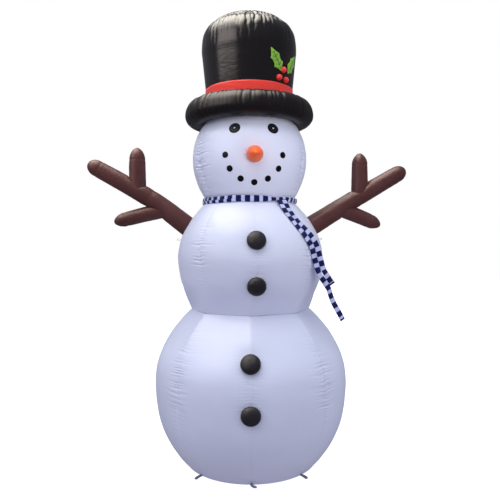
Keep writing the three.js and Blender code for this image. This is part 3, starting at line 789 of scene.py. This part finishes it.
def make_nose():
    """A puffed carrot with two sewn seams and a gathered root."""
    nose = nose_frame()
    turn = turns(72)
    along = np.linspace(0, 1, 44)[:, None]
    near_seam = sum(bell(wrapped(turn - math.radians(seam)), 0.05) for seam in (42, 222))
    gathers = 0.03 * np.exp(-along / 0.12) * np.abs(np.sin(11 * turn + waves(turn, 2.0, 77)))
    body = nose.radius * (1 - along**2.1) ** 0.8 * (1 - 0.045 * near_seam) * (1 - gathers)
    rings = 1 + 0.012 * waves(along * 3 + 0.1 * turn, 1.1, 81)
    root = nose.ring(0.92 * nose.radius, turn, -0.012)
    grid = np.concatenate([root[None], nose.ring(body * rings, turn, nose.height * along)[:-1]])
    obj = solid("nose_cone", grid, [ORANGE])
    finish_piece(obj, "root", "orange_nylon", "nose")


def make_buttons():
    for number in range(1, 5):
        name, node = f"button_pad_{number}", f"button_{number}"
        puffed_pad(name, node, MIDDLE if number < 3 else LOWER, BUTTON, "button_nylon", 900 + number, 34)


# ---- hat

CROWN_SEAM_R = 0.262     # where the crown's side is sewn to its top


def make_crown():
    angles = turns(320)
    outline = CROWN[:-2]
    arc = arc_lengths(outline)[:, None]
    near_top = outline[:, 1] > outline[:, 1].max() - 0.16
    seam_row = np.where(near_top, np.abs(outline[:, 0] - CROWN_SEAM_R), HEIGHT).argmin()
    away = arc - arc[seam_row]
    around = angles * 0.3
    below = np.where(away < 0, away / 1.5, away / 0.9)
    push = -0.0125 * folds(around, below, 0.044, 0.085, 611) - 0.006 * folds(around, below, 0.021, 0.055, 641)
    push = push - 0.004 * bell(away, 0.02) - 0.004 * folds(around, arc / 1.3, 0.05, 0.03, 671)
    push = push + 0.0016 * waves(arc, 0.5, 7) * waves(angles, 2.2, 8)
    for quarter in (-2, 0, 1, 3):
        off = wrapped(angles - quarter * math.pi / 2 - 0.35)
        push = push - 0.0018 * bell(off * 0.32, SEAM_WIDTH) * (away < 0)
    points = pushed(from_axis(outline[:, :1], angles + TWIST, outline[:, 1:]), push)
    obj = shell("hat_crown_cloth", points, [BLACK], cap=True)
    finish_piece(obj, "root", "black_nylon", "hat_crown", "hat_top_panel")


def make_brim():
    angles = turns(420)
    arc = arc_lengths(BRIM)[:, None]
    around = angles * 0.36
    from_crown = arc[-1] - arc
    push = -0.0135 * folds(around, from_crown / 2.2, 0.046, 0.105, 511)
    push = push - 0.007 * folds(around, from_crown / 2.0, 0.027, 0.09, 541)
    push = push - 0.003 * folds(around, arc / 1.5, 0.05, 0.035, 571)
    push = push + 0.002 * waves(arc, 0.4, 9) * waves(angles, 2.0, 10)
    points = pushed(from_axis(BRIM[:, :1], angles + TWIST, BRIM[:, 1:]), push)
    finish_piece(shell("hat_brim_cloth", points, [BRIM_BLACK]), "root", "black_nylon", "hat_brim")


def make_band():
    low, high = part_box("hat_band")
    angles = turns(240)
    z = np.linspace(low.z + 0.001, high.z - 0.001, 14)[:, None]
    share = (z - low.z) / (high.z - low.z)
    lift = 0.0026 + 0.0012 * np.sin(math.pi * share) + 0.0007 * waves(angles + 2 * share, 0.7, 31)
    obj = shell("hat_band_cloth", spot(CROWN, angles + TWIST, z, lift), [RED], thickness=0.0016)
    finish_piece(obj, "root", "red_nylon", "hat_band")


LEAF_WIDTH = 0.078
# Half the width of a leaf from its root to its tip, with two spines on each side.
LEAF_EDGE = [(0, 0.02), (0.14, 0.23), (0.28, 0.5), (0.36, 0.39), (0.46, 0.36), (0.56, 0.39), (0.64, 0.46),
             (0.73, 0.29), (0.84, 0.17), (1, 0.015)]
VEINS = 6


def make_leaf(side, middle):
    """A flat spiny leaf that lies on the crown, puffed a little on both sides of its midrib."""
    radius = radius_at(CROWN, middle[2])
    points = vertices_of(f"holly_leaf_{side}")
    flat = np.stack([(azimuth(points) - azimuth(middle)) * radius, points[:, 2] - middle[2]], axis=1)
    far = np.linalg.norm(flat, axis=1)
    tip, root = flat[far.argmax()], flat[far.argmin()]
    along = unit(tip - root)
    across = np.array([-along[1], along[0]])
    u = np.linspace(0, 1, 73)[:, None]
    v = np.linspace(-1, 1, 19)
    width = LEAF_WIDTH * np.interp(u, *zip(*LEAF_EDGE))
    place = root + (u * (tip - root))[:, None] + (v * width)[..., None] * across
    lift = 0.0034 + (0.0045 * (1 - np.abs(v) ** 3) - 0.0028 * bell(v, 0.10)) * np.clip(width / 0.02, 0, 1)
    grid = spot(CROWN, azimuth(middle) + place[..., 0] / radius, middle[2] + place[..., 1], lift)
    u = (u[1:] + u[:-1]) / 2
    v = np.abs(v[1:] + v[:-1]) / 2
    branch = (np.abs((u * VEINS - 0.9 * v) % 1.0 - 0.5) < 0.09) & (v < 0.62) & (u < 0.9)
    colours = (branch | ((v < 0.07) & (u < 0.95))).astype(int)
    obj = shell(f"holly_leaf_{side}_patch", grid, [GREEN, VEIN], 0.0022, closed=False, colours=colours)
    finish_piece(obj, "root", "green_nylon", f"holly_leaf_{side}")


def make_holly():
    middle = np.mean([box_centre(f"holly_berry_{number}") for number in (1, 2, 3)], axis=0)
    for side in ("left", "right"):
        make_leaf(side, middle)
    for number in (1, 2, 3):
        name, node = f"holly_berry_pad_{number}", f"holly_berry_{number}"
        puffed_pad(name, node, CROWN, RED, "red_nylon", 700 + number, 18, sunk=0.003)


# ---- scarf

BLOCK = 0.0585           # one navy and one pale block along the scarf
TAIL_BLOCK = 0.064       # the same along the tails, which are stretched by their weight
NAVY_SHARE = 0.56
HEM = 0.011
TAIL_WIDTH = 0.042
TAIL_OFFSET = 0.022      # from the line between the tails to the middle of each
TAIL_END_DROP = 0.008    # how far a tail's lower corner hangs below the middle of its end
TAIL_LEAVES = 1.56       # height where the tails start to turn towards the front
TAIL_FRONT = 26          # the way that they face from there, in degrees
TAIL_LEAVES_R = 0.50     # distance from the axis where they start to leave the ball
TAIL_FREE_R = 0.59       # distance from the axis where they are clear of it
TAIL_UPRIGHT_Z = 1.41    # height, at the middle ball's widest ring, below which they hang upright
SCARF_EDGE_R = max(reach(vertices_of("scarf_wrap"))) - 0.004


def make_scarf_wrap():
    """Two narrow strips side by side round the neck; their blocks drift apart towards the sides."""
    low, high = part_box("scarf_wrap")
    height = high.z - low.z - 0.006
    blocks = round(FULL_TURN * SCARF_EDGE_R / BLOCK)
    angles = turns(10 * blocks)
    share = np.linspace(0, 1, 17)[:, None]
    bent = wrapped(angles)
    narrow = 1 - 0.5 * bell(bent, math.radians(11), math.radians(26)) - 0.22 * smooth(bent, 0.5, 0.8)
    z = (low.z + high.z) / 2 + height * (share - 0.5) * narrow + 0.003 * waves(angles, 2.4, 63)
    bow = 0.0035 * np.sin(math.pi * share) + 0.001 * np.sin(2 * math.pi * share) ** 2
    groove = 0.0018 * bell(share, 0.035, 0.5)
    wave = 0.0044 * waves(angles, 0.9, 61) * (share - 0.5) + 0.0015 * waves(angles, 0.55, 62)
    points = from_axis(SCARF_EDGE_R + 0.001 + bow - groove + wave, angles + TWIST, z)
    middle = wrapped(angles + math.pi / len(angles))
    drift = 0.42 * smooth(-middle, 0.35, 1.25) + 0.5 * smooth(middle, 0.75, 1.3)
    upper = (share[1:] + share[:-1]) / 2 > 0.5
    phase = (middle * blocks / FULL_TURN + np.where(upper, 0, drift)) % 1.0
    colours = np.where(phase < NAVY_SHARE, 0, 1)
    obj = shell("scarf_wrap_cloth", points, [NAVY, PALE], thickness=0.0022, colours=colours)
    finish_piece(obj, "root", "scarf_fabric", "scarf_wrap")


def tail_stations():
    """The middle line of the tails: [angle, distance from the axis, height, angle that they face]."""
    def rest(z):
        return float(radius_at(MIDDLE, z)) + 0.007

    return np.array([
        [33.8, SCARF_EDGE_R + 0.009, 1.778, 33.8],
        [35.9, rest(1.695) + 0.002, 1.695, 35.9],
        [39.4, rest(1.628), 1.628, 39.4],
        [44.8, rest(1.556), 1.556, 44.8],
        [49.2, rest(1.490), 1.490, 49.2],
        [51.2, rest(1.430) + 0.001, 1.430, 50],
        [52.4, 0.526, 1.362, 40],
        [53.3, 0.550, 1.300, 33],
        [57.2, 0.588, 1.218, 28],
        [59.9, 0.624, 1.111, 27],
        [62.4, 0.671, 1.004, 26],
    ])


def make_tail(node, offset, first_phase, seed):
    """One scarf tail: a narrow striped strip that lies on the ball and then hangs free."""
    angle, distance, height, facing = tail_stations().T
    line = from_axis(distance, np.radians(angle) + TWIST, height)
    fine = spline(line, 400)
    whole = arc_lengths(fine)
    station_arc = [whole[np.linalg.norm(fine - station, axis=1).argmin()] for station in line]
    length = whole[fine[:, 2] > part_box(node)[0].z + TAIL_END_DROP][-1]
    arc = np.linspace(0, length, int(length / 0.004))
    middle = np.stack([np.interp(arc, whole, column) for column in fine.T], axis=1)
    facing = np.radians(np.interp(arc, station_arc, facing)) + TWIST
    along = unit(np.gradient(middle, axis=0))
    level, upward = slope_normal(MIDDLE, np.maximum(middle[:, 2], TAIL_UPRIGHT_Z))
    front = math.radians(TAIL_FRONT) + TWIST
    swing = smooth(-middle[:, 2], -TAIL_LEAVES - 0.10, -TAIL_LEAVES + 0.06) * np.maximum(facing - front, 0)
    lift_off = 0.6 * TAIL_WIDTH * np.sin(swing) * smooth(reach(middle), TAIL_FREE_R, TAIL_LEAVES_R)
    middle = middle + lift_off[:, None] * from_axis(1.0, azimuth(middle), 0.0)
    outward = from_axis(level, facing - swing, upward)
    across = unit(np.cross(outward, along))
    outward = np.cross(along, across)
    v = np.linspace(-1, 1, 11)
    arc = arc[:, None]
    width = TAIL_WIDTH * (1 - 0.03 * (1 + waves(arc, 0.2, seed)))
    free = smooth(arc, 0.45 * whole[-1], 0.7 * whole[-1])
    lift = 0.001 * waves(arc, 0.11, seed + 1) - 0.0012 * v**2 * (1 + 2 * free)
    lift = lift + 0.004 * free * waves(arc, 0.3, seed + 2) + 0.002 * free * waves(arc, 0.17, seed + 3) * v
    place = offset + v * width / 2 + 0.001 * waves(arc, 0.25, seed + 4)
    grid = middle[:, None] + across[:, None] * place[..., None] + outward[:, None] * lift[..., None]
    centres = (arc[1:] + arc[:-1]) / 2
    pale = ((centres / TAIL_BLOCK + first_phase) % 1.0 >= NAVY_SHARE) & (centres <= length - HEM)
    colours = np.repeat(pale.astype(int), len(v) - 1, axis=1)
    obj = shell(f"{node}_cloth", grid[:, ::-1], [NAVY, PALE], thickness=0.0018, closed=False, colours=colours)
    finish_piece(obj, node, "scarf_fabric", node)


# ---- arms

# The CAD's points of each arm in its plane, as [distance from the axis, height].
ARMS = {
    "left": {
        "side": -1, "shoulder": (0.432, 1.613), "elbow": (0.690, 1.806), "tip": (1.101, 2.043),
        "upper": ((0.770, 1.856), (0.770, 2.152)), "lower": ((0.581, 1.729), (0.931, 1.641)),
    },
    "right": {
        "side": 1, "shoulder": (0.442, 1.618), "elbow": (0.764, 1.813), "tip": (1.111, 2.013),
        "upper": ((0.781, 1.822), (0.781, 2.126)), "lower": ((0.636, 1.735), (0.930, 1.613)),
    },
}
SHOULDER_R = 0.070
TIP_R = 0.056
TWIG_R = {"upper": 0.055, "lower": 0.050}
CAP = 0.085              # length of the blunt cap at the end of a sleeve
SLEEVE_SEAMS = (90, 270)


def sleeve_grid(line, radii, seed, crinkle, columns=64):
    """Rings round a line in the arms' plane, with two seams, soft lumps and fine crinkles."""
    up = np.cross(FORWARD, unit(np.gradient(line, axis=0)))[:, None]
    turn = turns(columns)
    arc = arc_lengths(line)[:, None]
    radii = radii[:, None]
    push = 0.0012 * waves(arc + 0.05 * turn, 0.16, seed) * waves(turn, 3.3, seed + 1)
    for number, seam in enumerate(SLEEVE_SEAMS):
        off = wrapped(turn - math.radians(seam)) * radii
        push = push - 0.0022 * bell(off, SEAM_WIDTH)
        push = push - crinkle * folds(arc, off, 0.018, 0.022, seed + 31 * number)
    r = (radii + push * np.clip(radii / 0.03, 0, 1))[..., None]
    turn = turn[:, None]
    return line[:, None] + r * np.cos(turn) * FORWARD + r * np.sin(turn) * up


def sleeve_radii(arc, root_r, tip_r, power=2.1, blunt=0.62):
    """A sleeve narrows to its cap seam, where it dips, and ends in a blunt sewn cap."""
    length = arc[-1]
    body = root_r + (tip_r - root_r) * arc / length
    past_seam = arc - (length - CAP)
    shape = (1 - np.clip(past_seam / CAP, 0, 1) ** power) ** blunt
    return np.maximum(body * shape - 0.0016 * bell(past_seam, SEAM_WIDTH), 0.0)


def make_arm(side):
    arm, body = ARMS[side], f"{side}_arm"
    seed = 1000 if side == "left" else 1100

    def place(out_and_z):
        out, z = out_and_z
        return np.array([arm["side"] * out * math.cos(TWIST), arm["side"] * out * math.sin(TWIST), z])

    shoulder, elbow, tip = (place(arm[key]) for key in ("shoulder", "elbow", "tip"))
    twigs = [(kind, *(place(point) for point in arm[kind])) for kind in ("upper", "lower")]
    path = spline([shoulder + 0.12 * (shoulder - elbow), elbow, tip], 150)
    arc = arc_lengths(path)
    from_bend = arc - arc[np.linalg.norm(path - elbow, axis=1).argmin()]
    radii = sleeve_radii(arc, SHOULDER_R, TIP_R, 2.6, 0.56) - 0.0022 * bell(from_bend, 0.02)
    grid = sleeve_grid(path, radii, seed, 0.0022)
    for kind, root, end in twigs:
        way = unit(end - root)
        gap = grid - root
        from_twig = np.linalg.norm(gap - (gap @ way)[..., None] * way, axis=-1)
        dip = 0.004 * bell(from_twig, 0.010, TWIG_R[kind]) * smooth(gap @ way, 0.0, 0.03)
        grid = grid + unit(path[:, None] - grid) * dip[..., None]
    limb = solid(f"{side}_limb_sleeve", grid[:-1], [BROWN])
    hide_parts(f"{side}_arm_limb")
    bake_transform(limb)
    for kind, root, end in twigs:
        line = spline([root, root + 0.55 * (end - root) + [0, 0, 0.002], end], 90)
        radii = sleeve_radii(arc_lengths(line), TWIG_R[kind] + 0.005, TWIG_R[kind] - 0.002)
        grid = sleeve_grid(line, radii, seed + (37 if kind == "upper" else 53), 0.002, columns=56)
        twig = solid(f"{side}_{kind}_twig_sleeve", grid[:-1], [BROWN])
        finish_piece(twig, body, "brown_nylon", f"{side}_arm_{kind}_twig")


# ---- tether loops

WEBBING_THICKNESS = 0.0016
STRAP_WIDTH = 0.014


def strap(name, line, width_way, width, material):
    """A flat strap along a line, with its width along a fixed way."""
    along = unit(np.gradient(line, axis=0))
    across = unit(width_way - (along @ width_way)[:, None] * along)
    out = np.cross(along, across)
    half, thick = width / 2, WEBBING_THICKNESS / 2
    corners = [(share * half, -thick) for share in (-1, -0.3, 0.3, 1)]
    corners += [(share * half, thick) for share in (1, 0.3, -0.3, -1)]
    grid = np.stack([line + across * x + out * y for x, y in corners], axis=1)
    return solid(name, grid, [material])


def make_tethers():
    """Flattened loops: each runs out along the ground, folds over at its tip and comes back above itself."""
    nodes = [f"tether_loop_{k}" for k in range(1, 7)] + ["tether_tab_left", "tether_tab_right"]
    for index, node in enumerate(nodes):
        points = vertices_of(node)
        centre = points.mean(axis=0)
        outward = from_axis(1.0, azimuth(centre), 0.0)
        sideways = np.array([-outward[1], outward[0], 0.0])
        near, tip = (points @ outward).min(), (points @ outward).max()
        low, high = points[:, 2].min(), points[:, 2].max()
        reach_out = tip - near
        half = (high - low) / 2 - WEBBING_THICKNESS / 2
        if index == 0:
            swing = 0.55 * reach_out * sideways
        elif centre[1] < -0.1:
            swing = 0.45 * reach_out * np.array([0, -1.0, 0])
        else:
            swing = 0.3 * reach_out * waves(index, 3.0, 90) * sideways
        under = [(near, -0.9), (near + 0.4 * reach_out, -1.0), (tip - 1.2 * half, -1.0), (tip - 0.001, -0.1)]
        over = [(tip - 1.1 * half, 0.95), (near + 0.45 * reach_out, 0.55), (near, 0.3)]
        line = []
        for distance, level in under + over:
            drift = swing * ((distance - near) / reach_out) ** 2
            line.append(outward * distance + drift + np.array([0, 0, (high + low) / 2 + half * level]))
        width = min(np.ptp(points @ sideways), STRAP_WIDTH)
        obj = strap(f"{node}_strap", spline(line, 60), sideways, width, WEBBING)
        finish_piece(obj, "root", "webbing", node)


# ---- base and rear

DUCT_CLEARANCE = 0.099   # radius of the hole in the skin round the blower's duct
TOOTH_PITCH = 0.0034
TOOTH_R = 0.00125
SCREWS = 6
SCREW_RING = 0.107
SCREW_R = 0.0045
# A screw head from its sunk foot to the floor of its recess: [share of its radius, height].
SCREW_PROFILE = [(1.0, -0.004), (1.0, 0.0002), (0.86, 0.0018), (0.5, 0.0026), (0.42, 0.0012), (0.05, 0.0012)]


def make_base():
    low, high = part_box("base_panel")
    turn = turns(128)
    share = np.linspace(0.02, 1, 26)[:, None]
    top = high.z - 0.0006 * np.abs(np.sin(4 * turn)) * share - 0.0004
    under = low.z + 0.0009 * share * (1 - share) * (1 + np.cos(8 * turn))
    faces = [from_axis(high.x * share, turn, z) for z in (under, top)]
    grid = np.concatenate([faces[0], faces[1][::-1]])
    finish_piece(solid("base_panel_cloth", grid, [SNOW]), "root", "snow_nylon", "base_panel")


def from_rear(points):
    """Angles round the body, measured from the rear."""
    return np.arctan2(points[:, 0], points[:, 1])


def make_zipper():
    """The tape with its sewn edges, and the interlocked teeth along its middle."""
    low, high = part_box("zipper_tape")
    tape_turns = from_rear(vertices_of("zipper_tape"))
    across = np.linspace(tape_turns.min(), tape_turns.max(), 150)
    z = np.linspace(low.z, high.z, 13)[:, None]
    share = np.abs(np.linspace(-1, 1, 13))[:, None]
    lift = 0.0019 - 0.0006 * bell(share, 0.08, 0.78) + 0.0003 * waves(across, 0.09, 3)
    grid = spot(LOWER, math.pi - across, z, lift)
    tape = shell("zipper_tape_cloth", grid[:, ::-1], [ZIP_TAPE], thickness=0.0014, closed=False)
    finish_piece(tape, "root", "zip_nylon", "zipper_tape")
    coil = vertices_of("zipper_coil")
    coil_turns = from_rear(coil)
    step = TOOTH_PITCH / reach(coil).max()
    middle = (low.z + high.z) / 2
    teeth = []
    for number in range(int(np.ptp(coil_turns) / step)):
        turn = math.pi - (coil_turns.min() + (number + 0.5) * step)
        side = 1 if number % 2 else -1
        ends = spot(LOWER, turn, middle + side * np.array([-0.0012, 0.0036]), 0.0034)
        teeth.append(tube(f"tooth_{number}", np.linspace(*ends, 4), TOOTH_R, [TEETH], 6))
    finish_piece(joined("zipper_teeth", teeth), "root", "zip_nylon", "zipper_coil")


def blower_axis():
    """A point on the blower's axis where it meets the skin, and the way it points."""
    points = vertices_of("intake_grille")
    seat = points.mean(axis=0)
    normal = np.linalg.svd(points - seat, full_matrices=False)[2][-1]
    return seat, normal * np.sign(normal[1])


def make_blower_screws():
    seat, axis = blower_axis()
    side = unit(np.cross(axis, [0, 0, 1.0]))
    up = np.cross(side, axis)

    def circle(turn):
        return np.cos(turn)[:, None] * side + np.sin(turn)[:, None] * up

    screws = []
    for number, way in enumerate(circle(turns(SCREWS) + math.pi / SCREWS)):
        centre = seat + SCREW_RING * way - axis * 0.002
        rings = [centre + SCREW_R * share * circle(turns(20)) + axis * lift for share, lift in SCREW_PROFILE]
        screws.append(solid(f"screw_{number}", np.array(rings), [STEEL]))
    finish_piece(joined("blower_screws", screws), "root", "motor_steel")


def dress_cad():
    """Better materials for the CAD nodes that stay."""
    looks = {
        "blower_housing": PLASTIC, "intake_grille": GRILLE, "impeller": GRILLE, "fan_motor": STEEL,
        "motor_bracket": PLASTIC, "cord_gland": PLASTIC, "zipper_slider": ZIP_METAL, "zipper_pull": ZIP_METAL,
        "light_cable": SHEATH, "lamp_1": LAMP, "lamp_2": LAMP, "lamp_3": LAMP,
    }
    for node, material in looks.items():
        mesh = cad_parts[node].data
        mesh.materials.clear()
        mesh.materials.append(material)


# ---- stage

# The sky that lights the cloth, and the one that shiny cloth shows, from straight down to straight up.
DIFFUSE_SKY = [(0.0, (0.36, 0.34, 0.45)), (0.45, (0.43, 0.425, 0.52)), (0.62, (0.45, 0.48, 0.60)),
               (1.0, (0.68, 0.74, 0.86))]
SHINE_SKY = [(0.0, (0.02, 0.02, 0.025)), (0.55, (0.022, 0.022, 0.025)), (0.86, (0.045, 0.045, 0.05)),
             (0.935, (0.85, 0.80, 0.73)), (1.0, (1.9, 1.78, 1.56))]
SHINE_FROM = (-0.30, -0.06, 0.952)
SHINE_STRENGTH = 6.0
# A bright window in the shiny sky, by its angles round the body and above the horizon.
WINDOW_AZIMUTHS = (-80, -31)
WINDOW_HEIGHTS = (9, 33)
WINDOW_COLOUR = (0.52, 0.47, 0.45, 1)
WINDOW_EDGE = 0.03
WHITE = (1, 1, 1, 1)


def set_world():
    """White to the camera, one sky for diffuse light and another for reflections."""
    world = bpy.data.worlds.new("studio")
    bpy.context.scene.world = world
    n = Nodes(world, "OutputWorld", "Generated")
    x, y, z = n.add("SeparateXYZ", {0: n.place}).outputs
    facing = n.math("ARCTAN2", x, n.math("MULTIPLY", y, -1))
    bounds = [(facing, [math.radians(a) for a in WINDOW_AZIMUTHS]),
              (z, [math.sin(math.radians(a)) for a in WINDOW_HEIGHTS])]
    window = 1.0
    for value, (low, high) in bounds:
        window = n.math("MULTIPLY", window, n.range(value, 0, 1, low - WINDOW_EDGE, low + WINDOW_EDGE))
        window = n.math("MULTIPLY", window, n.range(value, 1, 0, high - WINDOW_EDGE, high + WINDOW_EDGE))
    tilt = n.add("VectorMath", {0: n.place, 1: SHINE_FROM}, operation="DOT_PRODUCT").outputs["Value"]
    reflected = n.ramp(n.range(tilt, 0, 1, -1, 1), SHINE_SKY)
    lit = n.add("MixRGB", {0: window, 1: reflected, 2: WINDOW_COLOUR}).outputs[0]
    sky = n.add("Background", {"Color": n.ramp(n.range(z, 0, 1, -1, 1), DIFFUSE_SKY)}).outputs[0]
    shine = n.add("Background", {"Color": lit, "Strength": SHINE_STRENGTH}).outputs[0]
    white = n.add("Background", {"Color": WHITE}).outputs[0]
    path = n.add("LightPath").outputs
    unseen = n.add("MixShader", {0: path["Is Glossy Ray"], 1: sky, 2: shine}).outputs[0]
    n.finish(n.add("MixShader", {0: path["Is Camera Ray"], 1: unseen, 2: white}))


def add_light(name, kind, location, target, energy, colour, **settings):
    data = bpy.data.lights.new(name, kind)
    data.energy = energy
    data.color = colour
    for key, value in settings.items():
        setattr(data, key, value)
    light = linked(name, data)
    light.location = location
    light.visible_glossy = False
    light.rotation_euler = (Vector(target) - Vector(location)).to_track_quat("-Z", "Y").to_euler()


def set_lights():
    panels = [
        ["top_softbox", (-0.7, -1.6, 6.2), (0, 0, 1.6), 115, (0.97, 0.98, 1.0), (4.5, 4.0)],
        ["left_strip", (-3.4, -2.6, 4.2), (0, 0, 2.7), 30, (1.0, 0.97, 0.94), (0.35, 3.0)],
        ["right_fill", (3.6, -1.6, 1.3), (0, 0, 1.2), 13, (0.98, 0.98, 1.0), (2.0, 2.0)],
    ]
    for name, location, target, energy, colour, (width, height) in panels:
        settings = {"shape": "RECTANGLE", "size": width, "size_y": height}
        add_light(name, "AREA", location, target, energy, colour, **settings)
    add_light("head_spot", "SPOT", (1.3, -3.4, 1.8), (0.1, 0, 2.08), 125, (1.0, 0.95, 0.87),
              spot_size=math.radians(27), spot_blend=1, shadow_soft_size=0.4)


def add_floor():
    bpy.ops.mesh.primitive_plane_add(size=30, location=(0, 0, -0.0008))
    floor = bpy.context.object
    floor.name = "floor"
    material, n = new_material("floor_paint")
    n.finish(n.add("BsdfPrincipled", {
        "Base Color": (0.85, 0.85, 0.86, 1),
        "Roughness": 0.9,
        "Emission Color": WHITE,
        "Emission Strength": 0.8,
    }))
    floor.data.materials.append(material)
    for ray in ("diffuse", "glossy", "transmission", "shadow"):
        setattr(floor, f"visible_{ray}", False)


# ---- build

make_lower_ball()
make_middle_ball()
make_head()
make_crown()
make_brim()
make_band()
make_holly()
make_face()
make_nose()
make_buttons()
make_scarf_wrap()
make_tail("scarf_tail_long", -TAIL_OFFSET, 0.0, 301)
make_tail("scarf_tail_short", TAIL_OFFSET, 0.5, 331)
make_arm("left")
make_arm("right")
make_tethers()
make_base()
make_zipper()
make_blower_screws()
dress_cad()
bpy.context.scene.view_settings.view_transform = "Standard"
set_world()
set_lights()
add_floor()
